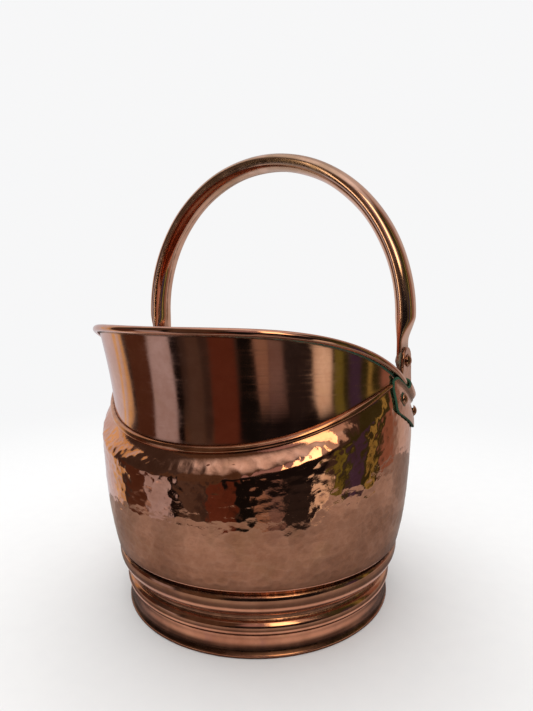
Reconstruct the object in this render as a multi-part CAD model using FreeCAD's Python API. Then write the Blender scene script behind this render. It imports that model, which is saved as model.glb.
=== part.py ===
import FreeCAD, Part
import os, math

os.makedirs("parts", exist_ok=True)

# Copper helmet-shaped ice bucket with a swinging arch handle, in millimetres.
# The origin is the centre of the resting plane and +Z is up. The tall pouring lip (front)
# is at -Y, the low lip (rear) at +Y, and the handle pivots lie at +X (right) and -X (left).
# Azimuths are degrees from the front (-Y) towards +X. Profiles are (radius, z) points.
# Shapes symmetric about X = 0 are built on the +X side and mirrored.

# ------------------------------------------------------------ dimensions ----
BODY_SHEET = 1.2
LIP_SHEET = 0.9
RIM_WIRE_R = 1.9
RIM_WIRE_PLAY = 0.12     # between the rim wire and the sheet rolled over it
CURL_R = RIM_WIRE_R + RIM_WIRE_PLAY + LIP_SHEET / 2   # rolled rim, to mid-sheet
JOINT_GAP = 0.12         # between the top of the body wall and the joint line

# Foot: profile tables run up the inside and then down the outside
HEM_R = 2.0              # outside radius of the rolled hem
HEM_CENTRE = (123.0, 1.85)   # lower than HEM_R, so the hem has a flat at the floor
FOOT_SHEET = 1.0
FOOT_WIRE_R = 0.95
SKIRT_INSIDE = [         # above the hem
    (123.0, 3.75), (122.0, 5.6), (121.35, 8.0), (121.12, 11.0), (121.3, 14.5), (121.6, 17.0),
    (121.95, 18.3)]
BEAD_INSIDE = [
    (121.95, 18.3), (122.5, 19.6), (124.0, 20.6), (125.1, 22.3), (125.55, 24.7), (125.1, 27.2),
    (124.0, 28.9), (122.5, 30.0), (121.4, 31.0), (121.0, 32.4), (121.1, 34.0)]
NECK_INSIDE = [(121.1, 34.0), (121.15, 36.3), (122.0, 37.4)]
COLLAR_INSIDE = [
    (122.0, 37.4), (124.9, 38.1), (127.0, 39.5), (128.6, 41.6), (129.9, 44.2), (130.6, 45.8),
    (131.1, 47.4)]
COLLAR_TOP_INSIDE = (131.1, 55.6)
COLLAR_OUTSIDE = [
    (132.95, 55.9), (132.55, 51.5), (131.75, 47.6), (130.7, 44.0), (129.4, 40.9), (127.7, 38.5),
    (125.3, 36.9), (122.6, 36.2)]
NECK_OUTSIDE = [(122.6, 36.2), (122.0, 35.2), (121.9, 33.6), (122.1, 32.0), (122.9, 30.9)]
BEAD_OUTSIDE = [
    (122.9, 30.9), (124.7, 29.8), (126.1, 27.6), (126.6, 24.7), (126.1, 21.9), (124.7, 19.7),
    (123.1, 18.7)]
SKIRT_OUTSIDE = [        # down to just above the hem
    (123.1, 18.7), (122.8, 17.0), (122.3, 14.0), (122.15, 10.5), (122.5, 7.2), (123.25, 4.9)]

# Body wall
BODY_BOTTOM_Z = 48.2     # bottom edge, inside the foot collar
BODY_BOTTOM_R = 130.9
JOGGLE_Z = (56.1, 61.5)  # the wall steps out over the collar between these heights
BELLY = [                # z, outside radius before the shoulder draws in
    (57.6, 133.3), (60.5, 134.2), (66.0, 135.5), (74.0, 137.1), (84.0, 138.8), (93.0, 140.1),
    (102.0, 141.1), (111.0, 142.0), (121.0, 142.8), (131.0, 143.4), (147.0, 144.2),
    (160.0, 144.5), (175.0, 144.3), (200.0, 143.0), (220.0, 142.0)]

# Base disc
BASE_Z = BODY_BOTTOM_Z   # underside at its edge
BASE_T = 1.5
BASE_DOME = 3.0
BASE_FLANGE_R = BODY_BOTTOM_R - BODY_SHEET - 0.15
BASE_FLANGE_TOP = 56.0

# Rolled rim: azimuth, height and radius of its centre
RIM = [
    (0, 256.6, 147.8), (10, 256.6, 147.7), (20, 256.4, 147.5), (30, 255.6, 147.1),
    (40, 253.5, 146.6), (50, 249.4, 145.9), (60, 242.8, 145.1), (70, 233.6, 144.3),
    (80, 222.2, 143.4), (90, 209.2, 142.5), (100, 196.6, 142.3), (110, 188.0, 142.7),
    (120, 184.8, 143.5), (130, 185.6, 144.5), (140, 188.6, 145.6), (150, 192.4, 146.5),
    (160, 195.8, 147.2), (170, 198.2, 147.6), (180, 199.0, 147.8)]
# Joint between body wall and lips: azimuth, height, outside radius of the wall
JOINT = [
    (0, 166.8, 130.1), (10, 167.3, 130.3), (20, 168.8, 130.8), (30, 171.7, 131.8),
    (40, 176.3, 133.0), (50, 182.9, 134.6), (60, 191.0, 136.5), (70, 200.0, 138.5),
    (75, 204.6, 139.5), (80, 208.3, 140.3), (85, 209.4, 140.6), (90, 203.7, 140.7),
    (95, 197.1, 140.8), (100, 191.1, 140.9), (105, 186.0, 140.9), (110, 180.6, 140.8),
    (115, 175.8, 140.4), (120, 172.4, 139.8), (130, 168.2, 138.2), (140, 165.5, 136.8),
    (150, 163.8, 135.7), (160, 162.7, 134.9), (170, 162.1, 134.5), (180, 162.0, 134.4)]
# Outward lean of the lip where it meets the rolled rim: azimuth, degrees
LEAN = [
    (0, 16.0), (40, 12.0), (70, 6.0), (90, 2.0), (105, 2.0), (120, 8.0), (140, 18.0),
    (160, 25.0), (180, 27.0)]

# Azimuths where the lips and the seam beads end
FRONT_LIP_END, REAR_LIP_END = 96.0, 96.06
FRONT_BEAD_END, REAR_BEAD_END = 80.8, 113.0
SEAM_BEAD_R = 3.2        # half-round bead, before it tapers towards its ends

# Ears and pivots (+X side)
PIVOT_Y, PIVOT_Z = 19.8, 224.7
PIVOT_R = 3.5
LUG_X = 137.7            # inner face of the upright lug
LUG_R = 11.8
EAR_T = 2.2
EAR_BEND_R = 4.5         # inner-face radius of the bend between the rim and the lug
EAR_WALL_R = 144.5       # radius at which azimuths on the ear outline are turned into Y
EAR_RIVETS = [(87.0, 196.0), (105.0, 177.5)]  # azimuth, height
RIVET_R = 2.5
CUT_X0, CUT_X1 = 100.0, 170.0   # reach in X of the prisms that trim the ear
BORE_X0, BORE_X1 = 110.0, 170.0

# Handle
TAB_X0, TAB_X1 = 132.7, 137.4   # flattened end
TAB_R = 12.6
TAB_HEIGHT = 14.0        # straight part of the tab above the pivot line
TAB_MID_X = (TAB_X0 + TAB_X1) / 2
WASHER_X1 = TAB_X0 - 0.12
WASHER_X0 = WASHER_X1 - 1.4
WASHER_R = 6.8
PIVOT_HEAD_X = LUG_X + EAR_T + 0.45
ARCH_R = 136.9           # horizontal radius of the arch centreline
ARCH_RISE = 143.8        # vertical radius
ARCH_Z = PIVOT_Z + 37.6  # height of the arch centre
# Half sizes of the tube section: outwards, inwards, along Y
TUBE_OUT, TUBE_IN, TUBE_HALF_W = 8.4, 7.6, 13.2
FLAT_HALF_T, FLAT_HALF_W = 2.15, 12.3   # the same where the tube is flattened
TUBE_WALL = 1.3
EDGE_HALF = 0.2          # half height of the straight strip between the section's halves
OUT_POWER, IN_POWER = 0.90, 0.80        # roundness of the section's halves
VOID_START = 7           # handle station at which the hollow begins


# ---------------------------------------------------------------- curves ----
def steps(start, end, count):
    """Values from start to end in count equal steps."""
    return [start + (end - start) * i / count for i in range(count + 1)]


def smooth(t):
    t = max(0.0, min(1.0, t))
    return t * t * (3 - 2 * t)


def hermite(t, start, start_slope, end, end_slope):
    t2, t3 = t * t, t * t * t
    return ((2 * t3 - 3 * t2 + 1) * start + (t3 - 2 * t2 + t) * start_slope
            + (-2 * t3 + 3 * t2) * end + (t3 - t2) * end_slope)


def interpolate(xs, ys, slopes, x):
    i = 0
    while i < len(xs) - 2 and x > xs[i + 1]:
        i += 1
    width = xs[i + 1] - xs[i]
    return hermite((x - xs[i]) / width, ys[i], width * slopes[i],
                   ys[i + 1], width * slopes[i + 1])


def chord_slopes(xs, ys):
    return [(ys[i + 1] - ys[i]) / (xs[i + 1] - xs[i]) for i in range(len(xs) - 1)]


def azimuth_function(rows, column):
    """Smooth function of azimuth, level at 0 and 180 so that its mirror image joins on."""
    xs = [float(row[0]) for row in rows]
    ys = [float(row[column]) for row in rows]
    chords = chord_slopes(xs, ys)
    slopes = [0.0]
    for i in range(1, len(xs) - 1):
        before, after = xs[i] - xs[i - 1], xs[i + 1] - xs[i]
        slopes.append((chords[i - 1] * after + chords[i] * before) / (before + after))
    slopes.append(0.0)
    return lambda azimuth: interpolate(xs, ys, slopes, azimuth)


def height_function(rows):
    """Smooth function of height, running straight on below the first row."""
    xs, ys = [row[0] for row in rows], [row[1] for row in rows]
    chords = chord_slopes(xs, ys)
    middle = [(low + high) / 2 for low, high in zip(chords, chords[1:])]
    slopes = [chords[0]] + middle + [chords[-1]]

    def value(z):
        if z <= xs[0]:
            return ys[0] + slopes[0] * (z - xs[0])
        return interpolate(xs, ys, slopes, z)
    return value


rim_z, rim_r = azimuth_function(RIM, 1), azimuth_function(RIM, 2)
joint_z, joint_r = azimuth_function(JOINT, 1), azimuth_function(JOINT, 2)
lean = azimuth_function(LEAN, 1)
belly_r = height_function(BELLY)


# -------------------------------------------------------------- profiles ----
def arc(centre, radius, start, end, count=9):
    """Points on an arc, angles in degrees."""
    angles = [math.radians(angle) for angle in steps(start, end, count - 1)]
    return [(centre[0] + radius * math.cos(angle), centre[1] + radius * math.sin(angle))
            for angle in angles]


def offset(points, distance):
    """Move a profile to the left of its travel by distance."""
    moved = []
    last = len(points) - 1
    for i, point in enumerate(points):
        before, after = points[max(0, i - 1)], points[min(last, i + 1)]
        dr, dz = after[0] - before[0], after[1] - before[1]
        length = math.hypot(dr, dz) or 1.0
        moved.append((point[0] - dz / length * distance, point[1] + dr / length * distance))
    return moved


def resample(points, count):
    """Points evenly spaced along a polyline."""
    lengths = [0.0]
    for p, q in zip(points, points[1:]):
        lengths.append(lengths[-1] + math.hypot(q[0] - p[0], q[1] - p[1]))
    result, j = [], 0
    for i in range(count):
        s = lengths[-1] * i / (count - 1)
        while j < len(lengths) - 2 and s > lengths[j + 1]:
            j += 1
        t = (s - lengths[j]) / (lengths[j + 1] - lengths[j])
        p, q = points[j], points[j + 1]
        result.append((p[0] + t * (q[0] - p[0]), p[1] + t * (q[1] - p[1])))
    return result


def relax(points, times):
    """Soften the bends of a profile, keeping its ends."""
    for _ in range(times):
        middle = [((p[0] + 2 * q[0] + r[0]) / 4, (p[1] + 2 * q[1] + r[1]) / 4)
                  for p, q, r in zip(points, points[1:], points[2:])]
        points = [points[0]] + middle + [points[-1]]
    return points


# -------------------------------------------------------------- surfaces ----
X_AXIS = FreeCAD.Vector(1, 0, 0)


def radial_direction(azimuth):
    angle = math.radians(azimuth)
    return FreeCAD.Vector(math.sin(angle), -math.cos(angle), 0)


def world(azimuth, point):
    return radial_direction(azimuth) * point[0] + FreeCAD.Vector(0, 0, point[1])


def point_rows(profile, azimuths):
    return [[world(azimuth, point) for point in profile(azimuth)] for azimuth in azimuths]


def mirrored(shape):
    return shape.mirror(FreeCAD.Vector(0, 0, 0), X_AXIS)


def shared_parameters(rows):
    """Curve parameters from the mean chord length between neighbours, over all rows."""
    lengths = [0.0]
    for j in range(1, len(rows[0])):
        mean = sum(row[j].distanceToPoint(row[j - 1]) for row in rows) / len(rows)
        lengths.append(lengths[-1] + max(1e-4, mean))
    return [length / lengths[-1] for length in lengths]


def cubic(points, parameters):
    curve = Part.BSplineCurve()
    curve.interpolate(Points=points, Parameters=parameters)
    return curve


def surface_through(rows):
    """Smooth bicubic surface through a grid of points."""
    row_parameters = shared_parameters(rows)
    column_parameters = shared_parameters([list(column) for column in zip(*rows)])
    row_curves = [cubic(row, row_parameters) for row in rows]
    row_poles = [curve.getPoles() for curve in row_curves]
    column_curves = [cubic(list(column), column_parameters) for column in zip(*row_poles)]
    poles = [list(line) for line in zip(*[curve.getPoles() for curve in column_curves])]
    u_curve, v_curve = column_curves[0], row_curves[0]
    surface = Part.BSplineSurface()
    surface.buildFromPolesMultsKnots(
        poles, u_curve.getMultiplicities(), v_curve.getMultiplicities(),
        u_curve.getKnots(), v_curve.getKnots(), False, False, 3, 3)
    return surface


def edge_across_rows(surface, last):
    """Boundary edge through the first or the last point of every row."""
    bounds = surface.bounds()
    return surface.vIso(bounds[3] if last else bounds[2]).toShape()


def edge_along_row(surface, last):
    """Boundary edge along the first or the last row."""
    bounds = surface.bounds()
    return surface.uIso(bounds[1] if last else bounds[0]).toShape()


def flat_end(edge_a, edge_b):
    """Flat face between two boundary edges that lie in one plane."""
    sides = [Part.makeLine(edge_a.Vertexes[i].Point, edge_b.Vertexes[i].Point)
             for i in (0, -1)]
    return Part.Face(Part.Wire(Part.__sortEdges__([edge_a, edge_b] + sides)))


def solid_between(outer_rows, inner_rows, flat_ends=(), side_strips=True, mirror=True):
    """Solid between two surfaces. flat_ends lists the rows to close with a flat face
    (False = first, True = last). Without side_strips the two surfaces share their sides."""
    outer, inner = surface_through(outer_rows), surface_through(inner_rows)
    faces = [outer.toShape(), inner.toShape()]
    if side_strips:
        faces += [Part.makeRuledSurface(edge_across_rows(outer, last),
                                        edge_across_rows(inner, last), 1)
                  for last in (False, True)]
    faces += [flat_end(edge_along_row(outer, last), edge_along_row(inner, last))
              for last in flat_ends]
    if mirror:
        faces += [mirrored(face) for face in faces]
    sewn = Part.makeCompound(faces)
    sewn.sewShape(5e-3)
    return outward(Part.makeSolid(sewn.Shells[0]))


def outward(solid):
    """Turn a solid whose faces point inwards the right way out."""
    if solid.Volume < 0:
        solid.reverse()
    return solid


def revolve(segments):
    """Full turn of a closed profile. Segments of 2 points are lines, longer ones curves."""
    edges = []
    for segment in segments:
        points = [FreeCAD.Vector(r, 0, z) for r, z in segment]
        if len(points) == 2:
            edges.append(Part.makeLine(points[0], points[1]))
        else:
            curve = Part.BSplineCurve()
            curve.interpolate(points)
            edges.append(curve.toShape())
    face = Part.Face(Part.Wire(Part.__sortEdges__(edges)))
    return outward(face.revolve(FreeCAD.Vector(0, 0, 0), FreeCAD.Vector(0, 0, 1), 360))


# --------------------------------------------------------- foot and base ----
def make_foot_ring():
    """Flared skirt with a hem rolled inwards round a wire, a bead, a neck and a collar."""
    flat_angle = math.degrees(math.asin(HEM_CENTRE[1] / HEM_R))
    hem_end = -205.0
    hem_outer = arc(HEM_CENTRE, HEM_R, 49.5, -flat_angle)
    hem_back = arc(HEM_CENTRE, HEM_R, -180.0 + flat_angle, hem_end, 7)
    hem_inside = arc(HEM_CENTRE, HEM_R - FOOT_SHEET, hem_end, 52.0, 19)
    return revolve([
        [hem_outer[-1], hem_back[0]],
        hem_back,
        [hem_back[-1], hem_inside[0]],
        hem_inside,
        [hem_inside[-1]] + SKIRT_INSIDE,
        BEAD_INSIDE,
        NECK_INSIDE,
        COLLAR_INSIDE,
        [COLLAR_INSIDE[-1], COLLAR_TOP_INSIDE],
        [COLLAR_TOP_INSIDE, COLLAR_OUTSIDE[0]],
        COLLAR_OUTSIDE,
        NECK_OUTSIDE,
        BEAD_OUTSIDE,
        SKIRT_OUTSIDE + [hem_outer[0]],
        hem_outer,
    ])


def make_foot_wire():
    return Part.makeTorus(HEM_CENTRE[0], FOOT_WIRE_R, FreeCAD.Vector(0, 0, HEM_CENTRE[1]),
                          FreeCAD.Vector(0, 0, 1))


def make_base_plate():
    """Slightly domed disc with a flange turned up inside the body wall."""
    def dome_line(z, edge_r):
        return [(0.0, z + BASE_DOME), (60.0, z + 0.70 * BASE_DOME),
                (112.0, z + 0.10 * BASE_DOME), (edge_r, z)]

    under = dome_line(BASE_Z, 126.0)
    upper = dome_line(BASE_Z + BASE_T, 125.8)[::-1]
    inner_r = BASE_FLANGE_R - BASE_T
    outer_foot, outer_top = (BASE_FLANGE_R, BASE_Z + 2.4), (BASE_FLANGE_R, BASE_FLANGE_TOP)
    inner_foot, inner_top = (inner_r, BASE_Z + 3.0), (inner_r, BASE_FLANGE_TOP)
    return revolve([
        under,
        [under[-1], (128.3, BASE_Z + 0.5), outer_foot],
        [outer_foot, outer_top],
        [outer_top, inner_top],
        [inner_top, inner_foot],
        [inner_foot, (127.3, BASE_Z + 1.85), upper[0]],
        upper,
        [upper[-1], under[0]],
    ])


# ------------------------------------------------------------- body wall ----
HALF_TURN = steps(0.0, 180.0, 48)


def body_r(azimuth, z):
    """Outside radius of the body wall."""
    radius = belly_r(z)
    low, high = JOGGLE_Z
    if z < high:
        return BODY_BOTTOM_R + (radius - BODY_BOTTOM_R) * smooth((z - low) / (high - low))
    top = joint_z(azimuth)
    draw = belly_r(top) - joint_r(azimuth)
    span = 15.0 + 0.25 * draw
    return radius - draw * (1.0 - smooth((top - z - 1.5) / span))


def body_outside(azimuth):
    # the extra gap gives more room where the joint line turns down
    extra_gap = 0.3 * math.exp(-((azimuth - 86.0) / 7.0) ** 2)
    top = joint_z(azimuth) - JOINT_GAP - extra_gap
    heights = [BODY_BOTTOM_Z + 1.1 * i for i in range(14)]
    start, count = heights[-1], 44
    heights += [start + (top - start) * (i / count) ** 1.35 for i in range(1, count + 1)]
    return [(body_r(azimuth, z), z) for z in heights]


def body_inside(azimuth):
    outside = body_outside(azimuth)
    inside = offset(outside, BODY_SHEET)
    for end in (0, -1):   # level edges at the bottom and the top
        inside[end] = (outside[end][0] - BODY_SHEET, outside[end][1])
    return inside


def rivet_hole(azimuth, z):
    return radial_cylinder(azimuth, z, 120.0, 165.0, RIVET_R + 0.05)


def make_body_shell():
    shell = solid_between(point_rows(body_outside, HALF_TURN),
                          point_rows(body_inside, HALF_TURN))
    for azimuth, z in EAR_RIVETS:
        hole = rivet_hole(azimuth, z)
        shell = shell.cut(hole)
        shell = shell.cut(mirrored(hole))
    return shell


# ----------------------------------------------------- lips and rim wire ----
LIP_WALL_POINTS = 23     # points of the lip profile below the curl


def lip_middle(azimuth):
    """Mid-sheet line of the lip: up from the joint, then rolled outwards round the wire."""
    lean_angle = math.radians(lean(azimuth))
    lean_sin, lean_cos = math.sin(lean_angle), math.cos(lean_angle)
    centre = (rim_r(azimuth), rim_z(azimuth))
    start = (joint_r(azimuth) - LIP_SHEET / 2 - 0.15, joint_z(azimuth))
    end = (centre[0] - CURL_R * lean_cos, centre[1] + CURL_R * lean_sin)
    pull = 0.9 * math.hypot(end[0] - start[0], end[1] - start[1])
    rise = [(hermite(i / 59.0, start[0], pull * 0.03, end[0], pull * lean_sin),
             hermite(i / 59.0, start[1], pull, end[1], pull * lean_cos)) for i in range(60)]
    fine = resample(rise, 400)
    # points crowd together towards the curl
    last = LIP_WALL_POINTS - 1
    wall = [fine[int(round(399 * (1 - (1 - i / last) ** 1.5)))] for i in range(last + 1)]
    return wall + arc(centre, CURL_R, 180.0 - lean(azimuth), -100.0, 18)[1:]


def lip_outside(azimuth):
    return offset(lip_middle(azimuth), -LIP_SHEET / 2)


def lip_inside(azimuth):
    return offset(lip_middle(azimuth), LIP_SHEET / 2)


def symmetric_strip(outside, inside, azimuths):
    """Strip from the plane of symmetry to a flat cut at the last azimuth, and its mirror."""
    return solid_between(point_rows(outside, azimuths), point_rows(inside, azimuths),
                         flat_ends=[True])


def make_front_lip():
    return symmetric_strip(lip_outside, lip_inside, steps(0.0, FRONT_LIP_END, 48))


def make_rear_lip():
    return symmetric_strip(lip_outside, lip_inside, steps(180.0, REAR_LIP_END, 42))


def make_rim_wire():
    def half_section(end_angle):
        return lambda azimuth: arc((rim_r(azimuth), rim_z(azimuth)), RIM_WIRE_R,
                                   180.0, end_angle)

    return solid_between(point_rows(half_section(0.0), HALF_TURN),
                         point_rows(half_section(360.0), HALF_TURN), side_strips=False)


# ------------------------------------------------------------ seam beads ----
def wall_r(azimuth, z):
    """Outside radius of the wall close to the joint, above or below it."""
    if z <= joint_z(azimuth):
        return body_r(azimuth, z)
    points = lip_outside(azimuth)[:LIP_WALL_POINTS]
    for p, q in zip(points, points[1:]):
        if p[1] <= z <= q[1]:
            return p[0] + (q[0] - p[0]) * (z - p[1]) / (q[1] - p[1])
    return points[0][0]


def front_bead_size(azimuth):
    return SEAM_BEAD_R * (1.0 - 0.45 * smooth((azimuth - 64.0) / 16.0))


def rear_bead_size(azimuth):
    return SEAM_BEAD_R * (1.0 - 0.45 * smooth((135.0 - azimuth) / 22.0))


def make_seam_bead(bead_size, azimuths):
    """Half-round bead over the joint, its inner side following the wall."""
    def inner_side(azimuth):
        size = bead_size(azimuth)
        middle = joint_z(azimuth)
        points = []
        for i in range(13):
            z = middle - size + 2 * size * i / 12.0
            radius = max(wall_r(azimuth, z + shift * size) for shift in (0.0, 0.12, -0.12))
            points.append((radius + 0.08, z))
        return relax(points, 3)

    def outer_side(azimuth):
        size = bead_size(azimuth)
        side = inner_side(azimuth)
        low, high = side[0], side[-1]
        edge = 0.3   # thickness at the bead's lower and upper edges
        points = []
        for i in range(13):
            angle = math.pi * i / 12.0
            k = (1 - math.cos(angle)) / 2
            bulge = edge + (size * 1.02 - edge) * math.sin(angle)
            points.append((low[0] + (high[0] - low[0]) * k + bulge,
                           low[1] + (high[1] - low[1]) * k))
        return points

    return symmetric_strip(outer_side, inner_side, azimuths)


# ------------------------------------------------- cylinders, rivet heads ----
def radial_cylinder(azimuth, z, r0, r1, radius):
    return Part.makeCylinder(radius, r1 - r0, world(azimuth, (r0, z)),
                             radial_direction(azimuth))


def pivot_cylinder(x0, x1, radius):
    return Part.makeCylinder(radius, x1 - x0, FreeCAD.Vector(x0, PIVOT_Y, PIVOT_Z), X_AXIS)


def rivet_head(seat, direction, radius, height):
    """Spherical cap with its flat side at seat, bulging along direction."""
    ball_r = (radius * radius + height * height) / (2 * height)
    ball = Part.makeSphere(ball_r, seat + direction * (height - ball_r))
    return ball.common(Part.makeCylinder(radius * 1.5, height * 1.5, seat, direction))


# ------------------------------------------------------------------ ears ----
def ear_inside(azimuth):
    """Inner face of the ear sheet: up the wall, round the outside and over the top of the
    rolled rim, then bent up into a flat lug on the inner side of the rim."""
    centre_r, centre_z = rim_r(azimuth), rim_z(azimuth)
    wrap_r = CURL_R + LIP_SHEET / 2 + 0.18 + 0.25
    lug_r = min(LUG_X / math.sin(math.radians(azimuth)), centre_r + wrap_r - 0.3)
    bend_r = lug_r + EAR_BEND_R
    bend_z = centre_z + math.sqrt((wrap_r + EAR_BEND_R) ** 2 - (bend_r - centre_r) ** 2)
    meet = math.degrees(math.atan2(bend_z - centre_z, bend_r - centre_r))
    wall_top = joint_z(azimuth) - 0.2
    points = [(body_r(azimuth, min(z, wall_top)) + 0.22, z)
              for z in steps(centre_z - 44.0, centre_z - 7.0, 20)]
    points += arc((centre_r, centre_z), wrap_r, -62.0, meet, 16)
    points += arc((bend_r, bend_z), EAR_BEND_R, meet + 180.0, 180.0, 12)[1:]
    points += [(lug_r, bend_z + 3.5 * i) for i in range(1, 14)]
    return resample(relax(resample(points, 240), 10), 66)


def ear_outside(azimuth):
    return offset(ear_inside(azimuth), -EAR_T)


def rounded_prism(corners, reaches):
    """Prism along X over a closed (y, z) polygon. Each corner is replaced by an arc that
    starts and ends at most its reach away from the corner."""
    count = len(corners)
    arcs = []
    for i in range(count):
        corner = corners[i]
        before, after = corners[i - 1], corners[(i + 1) % count]
        to_before = (before[0] - corner[0], before[1] - corner[1])
        to_after = (after[0] - corner[0], after[1] - corner[1])
        length_before, length_after = math.hypot(*to_before), math.hypot(*to_after)
        reach = min(reaches[i], 0.45 * length_before, 0.45 * length_after)
        start = [corner[j] + to_before[j] / length_before * reach for j in (0, 1)]
        end = [corner[j] + to_after[j] / length_after * reach for j in (0, 1)]
        middle = [0.25 * start[j] + 0.5 * corner[j] + 0.25 * end[j] for j in (0, 1)]
        arcs.append([FreeCAD.Vector(CUT_X0, y, z) for y, z in (start, middle, end)])
    edges = []
    for i, (start, middle, end) in enumerate(arcs):
        edges.append(Part.Arc(start, middle, end).toShape())
        edges.append(Part.makeLine(end, arcs[(i + 1) % count][0]))
    return Part.Face(Part.Wire(edges)).extrude(X_AXIS * (CUT_X1 - CUT_X0))


def make_ear_outline():
    """Prism of the ear's outline seen along X: a shield on the wall, a neck, a round lug."""
    def wall_y(azimuth):
        return -EAR_WALL_R * math.cos(math.radians(azimuth))

    front, bottom, rear = 81.2, 104.5, 111.0   # azimuths of the shield's corners
    shield = rounded_prism(
        [(wall_y(front), rim_z(front) - 5.0), (wall_y(front), 187.5), (wall_y(bottom), 161.5),
         (wall_y(rear), 163.5), (wall_y(rear), rim_z(rear) - 5.0)],
        [3.0, 7.0, 9.0, 5.0, 3.0])
    neck_corners = [(PIVOT_Y - LUG_R, PIVOT_Z), (PIVOT_Y - 15.2, rim_z(92.0) - 8.0),
                    (PIVOT_Y + 14.2, rim_z(104.0) - 8.0), (PIVOT_Y + LUG_R, PIVOT_Z),
                    (PIVOT_Y - LUG_R, PIVOT_Z)]
    neck_wire = Part.makePolygon([FreeCAD.Vector(CUT_X0, y, z) for y, z in neck_corners])
    neck = Part.Face(neck_wire).extrude(X_AXIS * (CUT_X1 - CUT_X0))
    return shield.fuse(neck).fuse(pivot_cylinder(CUT_X0, CUT_X1, LUG_R))


def make_ear():
    azimuths = steps(77.0, 117.0, 32)
    strip = solid_between(point_rows(ear_outside, azimuths), point_rows(ear_inside, azimuths),
                          flat_ends=[False, True], mirror=False)
    ear = strip.common(make_ear_outline())
    for azimuth, z in EAR_RIVETS:
        ear = ear.cut(rivet_hole(azimuth, z))
    return ear.cut(pivot_cylinder(BORE_X0, BORE_X1, PIVOT_R + 0.02))


def make_ear_rivets():
    rivets = []
    for azimuth, z in EAR_RIVETS:
        # the heads clear the highest and lowest points of the sheets around the rivet
        near = (azimuth - 2, azimuth, azimuth + 2)
        wall = [body_r(beside, z + dz) for beside in near for dz in (-5, 0, 5)]
        ear = [r for beside in near for r, ear_z in ear_outside(beside)
               if abs(ear_z - z) < 5.5]
        outer, inner = max(ear) + 0.12, min(wall) - BODY_SHEET - 0.35
        direction = radial_direction(azimuth)
        shank = radial_cylinder(azimuth, z, inner - 0.3, outer + 0.3, RIVET_R)
        heads = [rivet_head(world(azimuth, (outer, z)), direction, 4.9, 2.7),
                 rivet_head(world(azimuth, (inner, z)), direction * -1.0, 4.2, 1.5)]
        rivets.append(shank.fuse(heads).removeSplitter())
    return Part.makeCompound(rivets)


# ---------------------------------------------------------------- pivots ----
def make_pivot_rivet():
    shank = pivot_cylinder(WASHER_X0 - 0.5, PIVOT_HEAD_X + 0.3, PIVOT_R)
    outer_seat = FreeCAD.Vector(PIVOT_HEAD_X, PIVOT_Y, PIVOT_Z)
    inner_seat = FreeCAD.Vector(WASHER_X0 - 0.05, PIVOT_Y, PIVOT_Z)
    heads = [rivet_head(outer_seat, X_AXIS, 5.6, 2.9),
             rivet_head(inner_seat, X_AXIS * -1.0, 5.2, 2.0)]
    return shank.fuse(heads).removeSplitter()


def make_pivot_washer():
    hole = pivot_cylinder(WASHER_X0 - 1, WASHER_X1 + 1, PIVOT_R + 0.04)
    return pivot_cylinder(WASHER_X0, WASHER_X1, WASHER_R).cut(hole)


# ---------------------------------------------------------------- handle ----
def handle_stations():
    """Centreline from the right tab to the crown: x, z, outward normal x and z, and
    flatness (1 = flattened, 0 = full tube)."""
    stations = []
    for z in steps(PIVOT_Z + 8.0, ARCH_Z - 2.0, 10):
        k = smooth((z - (PIVOT_Z + 15.0)) / 24.0)
        stations.append((TAB_MID_X + (ARCH_R - TAB_MID_X) * k, z, 1.0, 0.0, 1.0 - k))
    for degrees in steps(2.5, 90.0, 18):
        cos, sin = math.cos(math.radians(degrees)), math.sin(math.radians(degrees))
        length = math.hypot(ARCH_RISE * cos, ARCH_R * sin)
        stations.append((ARCH_R * cos, ARCH_Z + ARCH_RISE * sin,
                         ARCH_RISE * cos / length, ARCH_R * sin / length, 0.0))
    return stations


def handle_side(side, inset, first):
    """Point rows of the outer (side = 1) or inner (side = -1) half of the section."""
    depth, power = (TUBE_OUT, OUT_POWER) if side > 0 else (TUBE_IN, IN_POWER)
    rows = []
    for x, z, normal_x, normal_z, flatness in handle_stations()[first:]:
        height = depth + (FLAT_HALF_T - depth) * flatness - inset - EDGE_HALF
        half_w = TUBE_HALF_W + (FLAT_HALF_W - TUBE_HALF_W) * flatness - inset
        row = []
        for i in range(13):
            angle = math.pi * i / 12.0
            rise = height * math.sin(angle) ** power if 0 < i < 12 else 0.0
            out = side * (rise + EDGE_HALF)
            row.append(FreeCAD.Vector(x + normal_x * out, PIVOT_Y - half_w * math.cos(angle),
                                      z + normal_z * out))
        rows.append(row)
    return rows


def handle_body(inset, first):
    """Whole arch, drawn in by inset and starting at station first on both sides."""
    return solid_between(handle_side(1, inset, first), handle_side(-1, inset, first),
                         flat_ends=[False])


def make_handle():
    tube = handle_body(0.0, 0).cut(handle_body(TUBE_WALL, VOID_START))
    tab = Part.makeBox(TAB_X1 - TAB_X0, 2 * TAB_R, TAB_HEIGHT,
                       FreeCAD.Vector(TAB_X0, PIVOT_Y - TAB_R, PIVOT_Z))
    tab = tab.fuse(pivot_cylinder(TAB_X0, TAB_X1, TAB_R)).removeSplitter()
    bore = pivot_cylinder(BORE_X0, BORE_X1, PIVOT_R + 0.06)
    return tube.fuse([tab, mirrored(tab)]).cut([bore, mirrored(bore)])


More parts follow.
